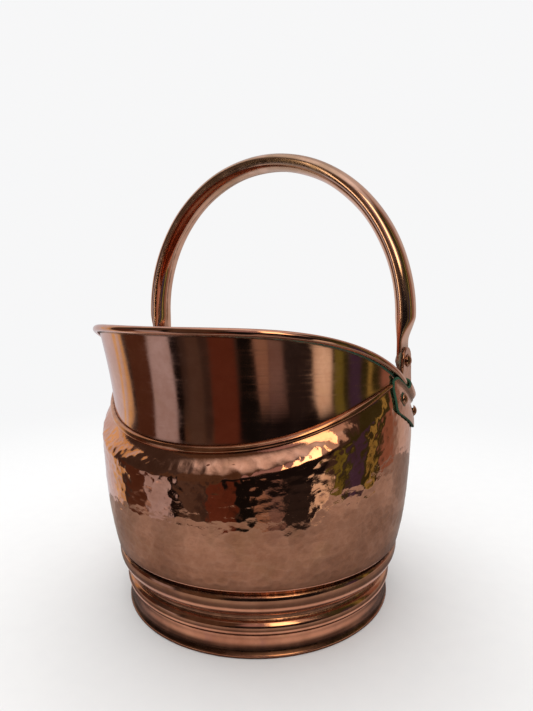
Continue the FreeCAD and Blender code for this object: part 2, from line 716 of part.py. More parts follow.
# ---------------------------------------------------------------- export ----
parts = {
    "foot_ring": make_foot_ring(),
    "foot_wire": make_foot_wire(),
    "base_plate": make_base_plate(),
    "body_shell": make_body_shell(),
    "front_lip": make_front_lip(),
    "rear_lip": make_rear_lip(),
    "rim_wire": make_rim_wire(),
    "front_seam_bead": make_seam_bead(front_bead_size, steps(0.0, FRONT_BEAD_END, 40)),
    "rear_seam_bead": make_seam_bead(rear_bead_size, steps(180.0, REAR_BEAD_END, 30)),
    "handle_tube": make_handle(),
}
paired_parts = {
    "ear": make_ear(),
    "ear_rivets": make_ear_rivets(),
    "pivot_rivet": make_pivot_rivet(),
    "pivot_washer": make_pivot_washer(),
}
for name, shape in paired_parts.items():
    parts["right_" + name] = shape
    parts["left_" + name] = mirrored(shape)

for name, shape in parts.items():
    shape.exportStep("parts/" + name + ".step")
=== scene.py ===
"""Hammered copper bucket with a pouring lip, a moulded foot and an arched tube handle.

The bucket stands on z = 0 round the Z axis. Azimuths are in degrees: 0 is the front (-Y), where
the lip is highest, 90 is the right (+X) and 180 the rear. The handle arches across X over the
two side ears. Shapes are worked out in millimetres; materials, lights and camera are in metres.
"""
import math

import bmesh
import bpy
import numpy as np
from mathutils import Matrix, Vector
from mathutils.geometry import delaunay_2d_cdt


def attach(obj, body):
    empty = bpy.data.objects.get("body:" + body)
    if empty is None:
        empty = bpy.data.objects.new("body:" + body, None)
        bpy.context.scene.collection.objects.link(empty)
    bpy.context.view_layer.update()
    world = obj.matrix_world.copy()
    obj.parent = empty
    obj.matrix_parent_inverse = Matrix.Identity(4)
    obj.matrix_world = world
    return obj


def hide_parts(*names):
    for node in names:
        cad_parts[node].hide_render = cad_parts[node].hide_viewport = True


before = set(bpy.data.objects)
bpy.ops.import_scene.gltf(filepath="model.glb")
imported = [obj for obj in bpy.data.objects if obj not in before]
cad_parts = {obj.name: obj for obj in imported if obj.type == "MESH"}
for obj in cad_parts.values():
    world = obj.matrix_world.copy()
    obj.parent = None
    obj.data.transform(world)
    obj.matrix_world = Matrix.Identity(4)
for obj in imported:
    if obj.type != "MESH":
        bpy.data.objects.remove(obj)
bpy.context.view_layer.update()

MM = 0.001

# ------------------------------------------------------------- dimensions ----
BODY_SHEET, LIP_SHEET, FOOT_SHEET, EAR_SHEET = 1.2, 0.9, 1.0, 2.2
WIRE_R, WIRE_GAP = 1.9, 0.12            # wire in the rolled rim, and the air round it
CURL_R = WIRE_R + WIRE_GAP + LIP_SHEET / 2      # mid-sheet radius of the rolled rim

BODY_FOOT_Z, BODY_FOOT_R = 48.2, 130.9  # lower edge of the body, outside
JOGGLE = (56.1, 61.5)                   # heights between which the body steps out
BASE_Z, BASE_T, BASE_DOME = BODY_FOOT_Z, 1.5, 3.0

# Foot profile, (radius, height): rolled hem, outside from the hem upwards, then inside downwards
HEM_R, HEM_CENTRE = 2.0, (123.0, 1.85)
FOOT_SKIRT = [(124.30, 3.37), (123.25, 4.9), (122.5, 7.2), (122.15, 10.5), (122.3, 14.0),
              (122.8, 17.0), (123.1, 18.7)]
FOOT_BEAD = [(123.1, 18.7), (124.7, 19.7), (126.1, 21.9), (126.6, 24.7), (126.1, 27.6),
             (124.7, 29.8), (122.9, 30.9)]
FOOT_NECK = [(122.9, 30.9), (122.1, 32.0), (121.9, 33.6), (122.0, 35.2), (122.6, 36.2)]
FOOT_TOP = [(122.6, 36.2), (125.3, 36.9), (127.7, 38.5), (129.4, 40.9), (131.1, 43.8),
            (132.3, 46.9), (133.0, 50.0), (133.05, 52.4), (132.6, 54.5), (131.95, 55.9)]
FOOT_INSIDE = [
    (131.5, 56.1), (131.1, 55.5), (131.1, 47.6), (130.6, 45.8), (129.9, 44.2), (128.6, 41.6),
    (127.0, 39.5), (124.9, 38.1), (122.0, 37.3), (121.1, 36.2), (121.05, 34.0), (121.0, 32.4),
    (121.4, 31.0), (122.5, 30.0), (124.0, 28.9), (125.1, 27.2), (125.55, 24.7), (125.1, 22.3),
    (124.0, 20.6), (122.5, 19.6), (121.95, 18.3), (121.6, 17.0), (121.3, 14.5), (121.12, 11.0),
    (121.35, 8.0), (122.0, 5.6), (123.0, 3.75)]
# Painted shade lines along the foot's grooves and edges: height, half width, strength
FOOT_GROOVES = [(18.9, 1.1, 0.9), (31.2, 1.3, 0.9), (35.9, 1.2, 1.0), (33.5, 2.0, 0.6),
                (55.9, 0.9, 1.0), (4.5, 2.0, 0.5)]

# Body wall: height, outside radius
BELLY = [(57.6, 133.3), (60.5, 134.2), (66.0, 135.5), (74.0, 137.1), (84.0, 138.8),
         (93.0, 140.1), (102.0, 141.1), (111.0, 142.0), (121.0, 142.8), (131.0, 143.4),
         (147.0, 144.2), (160.0, 144.5), (175.0, 144.3), (200.0, 143.0), (220.0, 142.0)]
# Centre of the rolled rim: azimuth, height, radius
RIM = [(0, 256.6, 147.8), (10, 256.6, 147.7), (20, 256.4, 147.5), (30, 255.6, 147.1),
       (40, 253.5, 146.6), (50, 249.4, 145.9), (60, 242.8, 145.1), (70, 233.6, 144.3),
       (80, 222.2, 143.4), (90, 209.2, 142.5), (100, 196.6, 142.3), (110, 188.0, 142.7),
       (120, 184.8, 143.5), (130, 185.6, 144.5), (140, 188.6, 145.6), (150, 192.4, 146.5),
       (160, 195.8, 147.2), (170, 198.2, 147.6), (180, 199.0, 147.8)]
# Joint between body and lip: azimuth, height, radius
JOINT = [(0, 166.8, 130.1), (10, 167.3, 130.3), (20, 168.8, 130.8), (30, 171.7, 131.8),
         (40, 176.3, 133.0), (50, 182.9, 134.6), (60, 191.0, 136.5), (70, 200.0, 138.5),
         (75, 204.6, 139.5), (80, 208.3, 140.3), (85, 209.4, 140.6), (90, 203.7, 140.7),
         (95, 197.1, 140.8), (100, 191.1, 140.9), (105, 186.0, 140.9), (110, 180.6, 140.8),
         (115, 175.8, 140.4), (120, 172.4, 139.8), (130, 168.2, 138.2), (140, 165.5, 136.8),
         (150, 163.8, 135.7), (160, 162.7, 134.9), (170, 162.1, 134.5), (180, 162.0, 134.4)]
# Outward lean of the lip below the rim: azimuth, degrees
LEAN = [(0, 16.0), (40, 12.0), (70, 6.0), (90, 2.0), (105, 2.0), (120, 8.0), (140, 18.0),
        (160, 25.0), (180, 27.0)]
FRONT_LIP_END, REAR_LIP_START = 95.97, 96.1     # azimuths
SEAM_BEAD = 3.2                                 # half height of the bead over the joint
FRONT_BEAD_END, REAR_BEAD_START = 80.8, 113.0   # azimuths

PIVOT_Y, PIVOT_Z, PIVOT_R = 19.8, 224.7, 3.5
LUG_X, LUG_R = 137.7, 11.8              # inner face and radius of the ear's round lug
EAR_BEND = 4.5                          # inner radius of the bend between rim and lug
EAR_RIVETS = [(87.0, 196.0), (105.0, 177.5)]    # azimuth, height
TAB_X0, TAB_X1, TAB_R = 132.7, 137.4, 12.6      # flattened handle ends
TAB_X = (TAB_X0 + TAB_X1) / 2
ARCH_R, ARCH_RISE, ARCH_UP = 136.9, 143.8, 37.6     # half span, height, start above the pivot
ARCH_Z = PIVOT_Z + ARCH_UP
TUBE_OUT, TUBE_IN, TUBE_HALF_W = 8.4, 7.6, 13.2     # half depths and half width of the tube


# ----------------------------------------------------------------- curves ----
def hermite_basis(t):
    t2, t3 = t * t, t * t * t
    return 2 * t3 - 3 * t2 + 1, t3 - 2 * t2 + t, -2 * t3 + 3 * t2, t3 - t2


def hermite(xs, ys, slopes, x):
    i = np.clip(np.searchsorted(xs, x) - 1, 0, len(xs) - 2)
    width = xs[i + 1] - xs[i]
    h = hermite_basis((x - xs[i]) / width)
    return (h[0] * ys[i] + h[1] * width * slopes[i]
            + h[2] * ys[i + 1] + h[3] * width * slopes[i + 1])


def fold(azimuth):
    """Mirror azimuths into 0..180."""
    azimuth = np.abs(np.asarray(azimuth, float))
    return np.where(azimuth > 180, 360 - azimuth, azimuth)


def by_azimuth(rows, column):
    """Smooth function of azimuth, alike on the left and right, through one table column."""
    rows = np.array(rows, float)
    xs, ys = rows[:, 0], rows[:, column]
    gap = np.diff(xs)
    slope = np.diff(ys) / gap
    slopes = np.zeros(len(xs))
    slopes[1:-1] = (slope[:-1] * gap[1:] + slope[1:] * gap[:-1]) / (gap[:-1] + gap[1:])
    return lambda azimuth: hermite(xs, ys, slopes, fold(azimuth))


def by_height(rows):
    """Smooth function through (x, y) rows that goes on straight beyond both ends."""
    xs, ys = np.array(rows, float).T
    slope = np.diff(ys) / np.diff(xs)
    slopes = np.concatenate([slope[:1], (slope[:-1] + slope[1:]) / 2, slope[-1:]])

    def value(x):
        x = np.asarray(x, float)
        y = hermite(xs, ys, slopes, np.clip(x, xs[0], xs[-1]))
        return (y + np.where(x < xs[0], slopes[0] * (x - xs[0]), 0)
                + np.where(x > xs[-1], slopes[-1] * (x - xs[-1]), 0))
    return value


rim_z, rim_r = by_azimuth(RIM, 1), by_azimuth(RIM, 2)
joint_z, joint_r = by_azimuth(JOINT, 1), by_azimuth(JOINT, 2)
lean = by_azimuth(LEAN, 1)
belly = by_height(BELLY)


def smooth(t):
    t = np.clip(t, 0.0, 1.0)
    return t * t * (3 - 2 * t)


def body_radius(azimuth, z):
    """Outside of the body: stepped in at the foot, drawn in below the joint."""
    top = joint_z(azimuth)
    full = belly(z)
    low = BODY_FOOT_R + (full - BODY_FOOT_R) * smooth((z - JOGGLE[0]) / (JOGGLE[1] - JOGGLE[0]))
    draw = belly(top) - joint_r(azimuth)
    span = 15.0 + 0.25 * draw
    high = full - draw * (1.0 - smooth((top - z - 1.5) / span))
    return np.where(z < JOGGLE[1], low, high)


# Profiles are pairs of arrays R, Z: one row per azimuth, points along the last axis.
# Their azimuths are a column.
def tangents(R, Z):
    dr, dz = np.gradient(R, axis=-1), np.gradient(Z, axis=-1)
    length = np.hypot(dr, dz) + 1e-12
    return dr / length, dz / length


def offset(R, Z, distance):
    """Offset to the left of travel."""
    tr, tz = tangents(R, Z)
    return R - tz * distance, Z + tr * distance


def resample(R, Z, n, grade=1.0):
    """Resample rows by arc length; grade > 1 tightens the spacing at the far end."""
    seg = np.hypot(np.diff(R, axis=-1), np.diff(Z, axis=-1))
    length = np.concatenate([np.zeros((len(R), 1)), np.cumsum(seg, axis=-1)], axis=-1)
    share = 1 - (1 - np.linspace(0, 1, n)) ** grade
    new_r, new_z = np.empty((len(R), n)), np.empty((len(R), n))
    for i in range(len(R)):
        s = share * length[i, -1]
        new_r[i] = np.interp(s, length[i], R[i])
        new_z[i] = np.interp(s, length[i], Z[i])
    return new_r, new_z


def soften(rows, passes):
    """Smooth rows in place, keeping their ends."""
    for _ in range(passes):
        rows[:, 1:-1] = (rows[:, :-2] + 2 * rows[:, 1:-1] + rows[:, 2:]) / 4


def spin(azimuth, R, Z):
    """Profiles to points."""
    turn = np.radians(azimuth)
    return np.stack(np.broadcast_arrays(R * np.sin(turn), -R * np.cos(turn), Z), axis=-1)


def strip_loop(outer_r, outer_z, inner_r, inner_z):
    """Join outer and inner profiles, running the same way, into closed loops with round edges."""
    outer, inner = np.stack([outer_r, outer_z]), np.stack([inner_r, inner_z])
    heading = np.stack(tangents(outer_r, outer_z))
    turn = math.pi * np.arange(1, 4) / 4

    def edge(start, end, bulge):
        middle = (start + end) / 2
        half = np.hypot(*(start - end)) / 2
        return (middle[..., None] + (start - middle)[..., None] * np.cos(turn)
                + (bulge * half)[..., None] * np.sin(turn) * 0.8)

    return np.concatenate([outer, edge(outer[..., -1], inner[..., -1], heading[..., -1]),
                           inner[..., ::-1], edge(inner[..., 0], outer[..., 0], -heading[..., 0])],
                          axis=2)


def arc(centre, radius, start, end, n):
    turn = np.radians(np.linspace(start, end, n))
    return np.stack([centre[0] + radius * np.cos(turn), centre[1] + radius * np.sin(turn)], -1)


def catmull(points, n):
    """Smooth curve through points, n steps to each span."""
    P = np.array(points, float)
    Q = np.vstack([2 * P[0] - P[1], P, 2 * P[-1] - P[-2]])
    curve = []
    for i in range(len(P) - 1):
        p0, p1, p2, p3 = Q[i:i + 4]
        for t in np.linspace(0, 1, n, endpoint=False):
            curve.append(0.5 * (2 * p1 + (-p0 + p2) * t + (2 * p0 - 5 * p1 + 4 * p2 - p3) * t * t
                                + (-p0 + 3 * p1 - 3 * p2 + p3) * t ** 3))
    curve.append(P[-1])
    return np.array(curve)


# ------------------------------------------------------- surface unevenness ----
def hash2(i, j, seed):
    x = np.sin(i * 127.1 + j * 311.7 + seed * 74.7) * 43758.5453
    return x - np.floor(x)


def waves(azimuth, y, seed, max_turns, y_rate):
    """Smooth wobble, roughly -1..1: whole waves round the azimuth, slanted along y."""
    rng = np.random.RandomState(seed)
    count = 7
    total = np.zeros(np.broadcast(azimuth, y).shape)
    for _ in range(count):
        turns = rng.randint(1, max_turns + 1)
        slant = rng.uniform(-1, 1) * y_rate
        total = total + rng.uniform(0.5, 1.0) * np.sin(
            np.radians(azimuth) * turns + slant * y + rng.uniform(0, 6.28))
    return total / (0.62 * count ** 0.5 * 1.6)


def facets(u, w, cell_u, cell_w, columns, seed, sharp, tilt):
    """Hammer marks: a jittered grid of shallow, softly blended dishes, repeating after `columns`
    cells in u. About -1 at a dish's centre, +1 on a ridge."""
    grid_i, grid_j = np.floor(u / cell_u), np.floor(w / cell_w)
    total = weights = 0.0
    for dj in (-2, -1, 0, 1, 2):
        for di in (-2, -1, 0, 1, 2):
            j = grid_j + dj
            i = grid_i + di
            shift = 0.5 * np.mod(j, 2)
            key = np.mod(i, columns)
            centre_u = (i + shift + 0.5 + 0.72 * (hash2(key, j, seed) - 0.5)) * cell_u
            centre_w = (j + 0.5 + 0.72 * (hash2(key, j, seed + 1.7) - 0.5)) * cell_w
            du, dw = (u - centre_u) / cell_u, (w - centre_w) / cell_w
            d2 = du * du + dw * dw
            weight = np.exp(-sharp * 2.2 * d2)
            depth = 0.55 + 0.9 * hash2(key, j, seed + 3.1)
            tilt_u = (hash2(key, j, seed + 5.3) - 0.5) * tilt
            tilt_w = (hash2(key, j, seed + 7.9) - 0.5) * tilt
            total = total + weight * (depth * (d2 * 2.6 - 0.5) + tilt_u * du + tilt_w * dw)
            weights = weights + weight
    return total / (weights + 1e-12)


# ----------------------------------------------------------------- meshes ----
def shade_smooth(mesh):
    mesh.polygons.foreach_set("use_smooth", [True] * len(mesh.polygons))


def new_object(name, points, faces, attrs=None):
    """Smooth-shaded object from points in millimetres, with float attributes on its points."""
    mesh = bpy.data.meshes.new(name)
    mesh.from_pydata((np.asarray(points) * MM).tolist(), [], [tuple(f) for f in faces])
    mesh.validate()
    shade_smooth(mesh)
    mesh.update()
    o = bpy.data.objects.new(name, mesh)
    bpy.context.scene.collection.objects.link(o)
    for key, values in (attrs or {}).items():
        layer = mesh.attributes.new(key, "FLOAT", "POINT")
        layer.data.foreach_set("value", np.asarray(values, float).reshape(-1))
    return o


def fix_normals(o, merge=0.0):
    """Turn faces outwards, after merging points closer than `merge` millimetres."""
    bm = bmesh.new()
    bm.from_mesh(o.data)
    if merge:
        bmesh.ops.remove_doubles(bm, verts=bm.verts, dist=merge * MM)
    bmesh.ops.recalc_face_normals(bm, faces=bm.faces)
    bm.to_mesh(o.data)
    bm.free()
    o.data.update()


def close_tips(o, merge):
    """Merge the tiny rings on an axis into single points."""
    fix_normals(o, merge)
    shade_smooth(o.data)


def grid_faces(nu, nv, closed_u):
    i = np.arange(nu if closed_u else nu - 1)[:, None]
    j = np.arange(nv)[None, :]
    here, ahead = i * nv, ((i + 1) % nu) * nv
    side = (j + 1) % nv
    return np.stack([here + j, ahead + j, ahead + side, here + side], -1).reshape(-1, 4).tolist()


def loop_grid(name, P, closed_u, attrs=None):
    """Closed skin from a grid P[u][v] whose rows are closed loops. The first and last rows are
    joined, or each is capped across its loop."""
    nu, nv = P.shape[:2]
    faces = grid_faces(nu, nv, closed_u)
    if not closed_u:
        for row, flip in ((0, False), (nu - 1, True)):
            i, j = 0, nv - 1
            while j - i >= 2:
                face = [row * nv + k for k in (i, i + 1, j - 1, j)]
                if face[1] == face[2]:
                    del face[2]
                faces.append(face if flip else face[::-1])
                i, j = i + 1, j - 1
    full = {key: np.broadcast_to(values, (nu, nv)) for key, values in (attrs or {}).items()}
    o = new_object(name, P.reshape(-1, 3), faces, full)
    fix_normals(o)
    return o


def outer_only(values, width):
    """Rows of values for the first points of a loop, filled up with zeros to its width."""
    return np.pad(values, ((0, 0), (0, width - values.shape[1])))


# ------------------------------------------------------------- body shell ----
def build_body():
    count = 600
    azimuth = np.arange(count)[:, None] * 360.0 / count
    azimuth = np.where(azimuth > 180, azimuth - 360, azimuth)
    top = joint_z(azimuth) - 0.05
    rows = 112
    Z = BODY_FOOT_Z + (top - BODY_FOOT_Z) * np.linspace(0, 1, rows)[None, :]
    R = body_radius(azimuth, Z)
    below = top - Z

    # Large and small hammer marks; the cells divide a nominal girth
    girth_r, columns, cell_w = 140.0, 104, 6.6
    cell_u = 2 * math.pi * girth_r / columns
    u = np.radians(azimuth) * girth_r
    large = facets(u + 500 * cell_u, Z + 40.0, cell_u, cell_w, columns,
                   seed=11.0, sharp=4.2, tilt=1.5)
    small = facets(u + 500 * cell_u / 2, Z + 13.0, cell_u / 2, cell_w / 2, columns * 2,
                   seed=23.0, sharp=4.0, tilt=1.2)
    # The marks fade out at the joint and the foot, and are deepest just below the joint
    mask = smooth((below - 6.0) / 4.5) * smooth((Z - 61.0) / 7.0)
    gain = 1.0 + 1.3 * np.exp(-((below - 17.0) / 12.0) ** 2)
    slow = waves(azimuth, Z, seed=5, max_turns=6, y_rate=0.035)
    quick = waves(azimuth, Z, seed=9, max_turns=22, y_rate=0.12)
    relief = (mask * (gain * (0.115 * large + 0.042 * small) + 0.06 * quick)
              + 0.22 * slow * smooth((Z - 60) / 25.0) * smooth((below - 2) / 25.0))
    outer_r, outer_z = offset(R, Z, -relief)
    inner_r, inner_z = offset(R, Z, BODY_SHEET)
    inner_r = inner_r - 0.5 * mask * 0.085 * large
    picked = np.unique(np.round(np.linspace(0, rows - 1, 40)).astype(int))
    R, loop_z = strip_loop(outer_r, outer_z, inner_r[:, picked], inner_z[:, picked])

    ham = mask * np.clip(0.75 * large + 0.5 * small, -1, 1)
    # Darker just above the foot's top edge and just under the joint: dirt and painted shade in
    # these creases
    dirt_and_shade = np.maximum(np.clip(1.0 - (Z - 56.5) / 2.6, 0, 1),
                       0.75 * np.clip(1.0 - (below - 2.8) / 1.7, 0, 1))
    width = R.shape[1]
    return loop_grid("hammered_body", spin(azimuth, R, loop_z), True,
                     {"ham": outer_only(ham, width), "dirt_and_shade": outer_only(dirt_and_shade, width)})


# ------------------------------------------------------------------- lips ----
def lip_path(azimuth, n_low, n_curl):
    """Mid-sheet profile: a flared wall up from the joint, then the roll round the wire."""
    tilt = np.radians(lean(azimuth))
    centre_r, centre_z = rim_r(azimuth), rim_z(azimuth)
    foot_r, foot_z = joint_r(azimuth) - LIP_SHEET / 2 - 0.15, joint_z(azimuth) + 0.05
    top_r = centre_r - CURL_R * np.cos(tilt)
    top_z = centre_z + CURL_R * np.sin(tilt)
    pull = 0.9 * np.hypot(top_r - foot_r, top_z - foot_z)
    h = hermite_basis(np.linspace(0, 1, 90)[None, :])
    R = h[0] * foot_r + h[1] * (pull * 0.03) + h[2] * top_r + h[3] * (pull * np.sin(tilt))
    Z = h[0] * foot_z + h[1] * pull + h[2] * top_z + h[3] * (pull * np.cos(tilt))
    R, Z = resample(R, Z, n_low, grade=1.25)
    start = 180.0 - lean(azimuth)
    turn = np.radians(start + (-100.0 - start) * (np.arange(1, n_curl + 1) / n_curl)[None, :])
    return (np.concatenate([R, centre_r + CURL_R * np.cos(turn)], axis=1),
            np.concatenate([Z, centre_z + CURL_R * np.sin(turn)], axis=1))


def build_lip(name, azimuth, seed, tarnish):
    """`tarnish`, 0..1, is how much stronger the green gets under the rim."""
    n_low, n_curl = ((64, 30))
    R, Z = lip_path(azimuth, n_low, n_curl)
    # Gentle unevenness of the sheet, fading out into the rolled edge and the joint
    index = np.arange(n_low + n_curl)[None, :]
    fade = smooth(index / 6.0) * smooth((n_low - index) / 8.0)
    tall = smooth((rim_z(azimuth) - joint_z(azimuth) - 8.0) / 20.0)
    slow = waves(azimuth, Z, seed, max_turns=16, y_rate=0.02)
    quick = waves(azimuth, Z, seed + 1, max_turns=46, y_rate=0.05)
    R = R + (0.10 * slow + 0.035 * quick) * fade * tall
    R, Z = strip_loop(*offset(R, Z, -LIP_SHEET / 2), *offset(R, Z, LIP_SHEET / 2))

    # Green tarnish under the rolled edge; darkening there and just above the joint, dirt and
    # painted shade in these creases
    outside = (np.arange(R.shape[1]) < n_low + n_curl)[None, :]
    distance = np.hypot(R - (rim_r(azimuth) - 2.2), Z - (rim_z(azimuth) - 3.3))
    under_rim = np.clip(1.35 - distance / 1.35, 0, 1) * outside
    low = 0.6 * np.clip(1.0 - np.abs(Z - joint_z(azimuth) - 3.6) / 1.6, 0, 1) * outside
    return loop_grid(name, spin(azimuth, R, Z), False,
                     {"verd": under_rim * (0.72 + 0.28 * tarnish),
                      "dirt_and_shade": np.clip(low + 0.8 * under_rim, 0, 1)})


# ------------------------------------------------------------- seam beads ----
def wall_near_joint(azimuth, rise):
    """Outside radius of body or lip at the joint's height plus `rise`."""
    height = joint_z(azimuth) + rise
    R, Z = lip_path(azimuth, 64, 4)
    R, Z = offset(R[:, :60], Z[:, :60], -LIP_SHEET / 2)
    upper = np.array([np.interp(height[i], Z[i], R[i]) for i in range(len(R))])
    return np.where(rise <= 0, body_radius(azimuth, height), upper)


def build_bead(name, azimuth, size):
    """Half-round bead over the joint; its back follows the wall."""
    n = 17
    rise = np.linspace(-1, 1, n)[None, :] * size
    wall = wall_near_joint(azimuth, rise)
    back_r = np.maximum(wall, np.maximum(np.roll(wall, 1, 1), np.roll(wall, -1, 1)))
    back_r[:, 0], back_r[:, -1] = wall[:, 0], wall[:, -1]
    back_z = joint_z(azimuth) + rise
    soften(back_r, 2)
    back_r = back_r + 0.06
    turn = np.linspace(0, math.pi, 23)[None, :]
    share = (1 - np.cos(turn)) / 2
    front_r = (back_r[:, :1] + (back_r[:, -1:] - back_r[:, :1]) * share + size * np.sin(turn)
               + 0.05 * waves(azimuth, 0.0, seed=71, max_turns=30, y_rate=0.0) * np.sin(turn))
    front_z = back_z[:, :1] + (back_z[:, -1:] - back_z[:, :1]) * share
    R = np.concatenate([front_r, back_r[:, ::-1][:, 1:-1]], axis=1)
    Z = np.concatenate([front_z, back_z[:, ::-1][:, 1:-1]], axis=1)
    # Darker along the bead's edges where it meets the wall, and on its back: dirt and painted shade
    # in the creases
    dirt_and_shade = np.concatenate([0.8 * (1 - np.sin(turn)) ** 2, np.ones((1, n - 2))], axis=1)
    return loop_grid(name, spin(azimuth, R, Z), False, {"dirt_and_shade": dirt_and_shade})


def bead_size(taper):
    return SEAM_BEAD * (1.0 - 0.45 * smooth(taper))


# ------------------------------------------------------------------- foot ----
def build_foot():
    flat = math.degrees(math.asin(HEM_CENTRE[1] / HEM_R))   # the hem is cut flat at z = 0
    outer = np.vstack([arc(HEM_CENTRE, HEM_R, -flat, 49.5, 12)[:-1], catmull(FOOT_SKIRT, 5)[:-1],
                       catmull(FOOT_BEAD, 6)[:-1], catmull(FOOT_NECK, 5)[:-1],
                       catmull(FOOT_TOP, 8)])
    profile = np.vstack([outer, catmull(FOOT_INSIDE, 3),
                         arc(HEM_CENTRE, HEM_R - FOOT_SHEET, 52.0, -205.0, 26)[1:],
                         arc(HEM_CENTRE, HEM_R, -205.0, -180.0 + flat, 9)])
    count = 360
    azimuth = np.arange(count)[:, None] * 360.0 / count
    Z = profile[None, :, 1]
    fade = smooth((Z - 4.0) / 10.0)
    R = (profile[None, :, 0]
         + 0.10 * waves(azimuth, Z, seed=91, max_turns=9, y_rate=0.05) * fade
         + 0.03 * waves(azimuth, Z, seed=92, max_turns=40, y_rate=0.2) * fade)
    # Painted shade along the grooves, passed on as the foot's darkening attribute
    groove = np.zeros(Z.shape)
    for height, half_width, strength in FOOT_GROOVES:
        line = strength * np.clip(1 - np.abs(Z - height) / half_width, 0, 1)
        groove = np.maximum(groove, line)
    outside = (np.arange(len(profile)) < len(outer))[None, :]
    # Band low on the foot's outside that the material paints dark: a painted dark reflection of the
    # floor close by
    skirt = smooth((12.5 - Z) / 4.0) * smooth((Z - 2.6) / 1.0) * outside
    return loop_grid("moulded_foot", spin(azimuth, R, Z), True,
                     {"dirt_and_shade": groove, "dull": ~outside, "skirt": skirt})


# ------------------------------------------------------------- base plate ----
def build_base():
    """Domed, hammered disc with an upright flange inside the body's lower edge."""
    flange_r = BODY_FOOT_R - BODY_SHEET - 0.15
    disc_r = 125.8
    radii = np.concatenate([[0.04], np.linspace(2.7, disc_r, 45)])
    dome = BASE_DOME * (1 - (radii / 126.0) ** 2)
    top = np.stack([radii, BASE_Z + BASE_T + dome], -1)
    flange_in = catmull([(disc_r, BASE_Z + BASE_T), (127.3, BASE_Z + 1.85),
                         (flange_r - BASE_T, BASE_Z + 3.4), (flange_r - BASE_T, 55.6)], 5)[1:]
    flange_out = catmull([(flange_r, 55.6), (flange_r, BASE_Z + 2.4),
                          (128.3, BASE_Z + 0.5), (126.0, BASE_Z)], 5)
    bottom = np.stack([radii[::-1], BASE_Z + dome[::-1]], -1)[1:]
    profile = np.vstack([top, flange_in, [(flange_r - BASE_T / 2, 56.0)], flange_out, bottom])
    count = 192
    azimuth = np.arange(count)[:, None] * 360.0 / count
    R, Z = profile[None, :, 0], profile[None, :, 1]
    x, y = R * np.sin(np.radians(azimuth)), R * np.cos(np.radians(azimuth))
    marks = facets(x + 400.0, y + 400.0, 11.0, 11.0, 100000, seed=3.0, sharp=3.5, tilt=1.2)
    Z = Z + 0.16 * smooth((124.0 - R) / 20.0) * marks
    o = loop_grid("domed_base_disc", spin(azimuth, R, Z), True)
    close_tips(o, 0.2)
    return o


# ----------------------------------------------------------------- handle ----
def right_stations():
    """From the right tab's tip to the crown: x, z, outward normal x and z, flatness, half width."""
    stations = []
    for turn in np.radians(np.linspace(-89.0, 0.0, 16)):    # rounded tip below the pivot
        stations.append((TAB_X, PIVOT_Z + TAB_R * math.sin(turn), 1.0, 0.0, 1.0,
                         TAB_R * math.cos(turn)))
    for z in np.linspace(PIVOT_Z + 0.8, ARCH_Z, 46):   # upright, turning tubular
        tube = smooth((z - (PIVOT_Z + 15.0)) / 24.0)
        wide = smooth((z - (PIVOT_Z + 6.0)) / 30.0)
        stations.append((TAB_X + (ARCH_R - TAB_X) * tube, z, 1.0, 0.0, 1.0 - tube,
                         TAB_R + (TUBE_HALF_W - TAB_R) * wide))
    for turn in np.radians(np.linspace(1.2, 90.0, 84)):    # arch
        nx, nz = ARCH_RISE * math.cos(turn), ARCH_R * math.sin(turn)
        length = math.hypot(nx, nz)
        stations.append((ARCH_R * math.cos(turn), ARCH_Z + ARCH_RISE * math.sin(turn),
                         nx / length, nz / length, 0.0, TUBE_HALF_W))
    return stations


def build_handle():
    right = right_stations()
    left = [(-x, z, -nx, *rest) for x, z, nx, *rest in reversed(right[:-1])]
    stations = np.array(right + left)
    x, z, nx, nz, flat, width = stations.T[:, :, None]
    index = np.arange(len(stations))[:, None]
    sides = 72
    turn = (np.arange(sides) * 2 * math.pi / sides)[None, :]
    c, s = np.cos(turn), np.sin(turn)       # s > 0 is the outside of the arch
    # Section: a rounded bar at the flat ends, a tube with a flatter inner half between them
    half_t = 2.35
    depth_out = TUBE_OUT + (half_t - TUBE_OUT) * flat
    depth_in = TUBE_IN + (half_t - TUBE_IN) * flat
    across = np.sign(c) * np.abs(c) ** (0.96 - 0.30 * flat) * width
    out = np.where(s >= 0, depth_out * np.abs(s) ** (0.92 - 0.52 * flat),
                   -depth_in * np.abs(s) ** (0.78 - 0.38 * flat))
    tip = (width < 11.0) & (flat > 0.99)
    out = np.where(tip, out * (1 - 0.35 * (1 - width / 11.0) ** 3), out)
    # Lapped seam wandering along the inner side
    wander = 0.8 * np.sin(z * 0.021 + x * 0.017) + 0.5 * np.sin(z * 0.07)
    inside = (s < -0.3) * (1 - flat)
    seam = np.exp(-((across - 1.5 - wander) / 0.55) ** 2) * inside
    lap = smooth((across - 1.5 - wander) / 0.8) * inside
    out = out + 0.30 * seam + 0.16 * lap
    # Hand-worked unevenness
    out = out * (1 + 0.010 * np.sin(3.1 * index / 11.0 + 2.0 * turn)
                 + 0.007 * np.sin(index / 4.3 + 3.0 * turn + 1.0))
    verd = np.clip(1.25 - (z - PIVOT_Z) / 16.0, 0, 1) * (0.55 + 0.45 * np.clip(s, 0, 1))
    return loop_grid("arched_tube_handle",
                     np.stack([x + nx * out, PIVOT_Y + across, z + nz * out], -1), False,
                     {"dirt_and_shade": np.clip(seam + 0.15 * lap, 0, 1), "verd": verd, "flat": flat})


# ------------------------------------------------------------------- ears ----
EAR_AZIMUTHS = np.linspace(74.0, 120.0, 93)
EAR_WALL_R = 144.5      # nominal radius for laying out and unrolling the ear


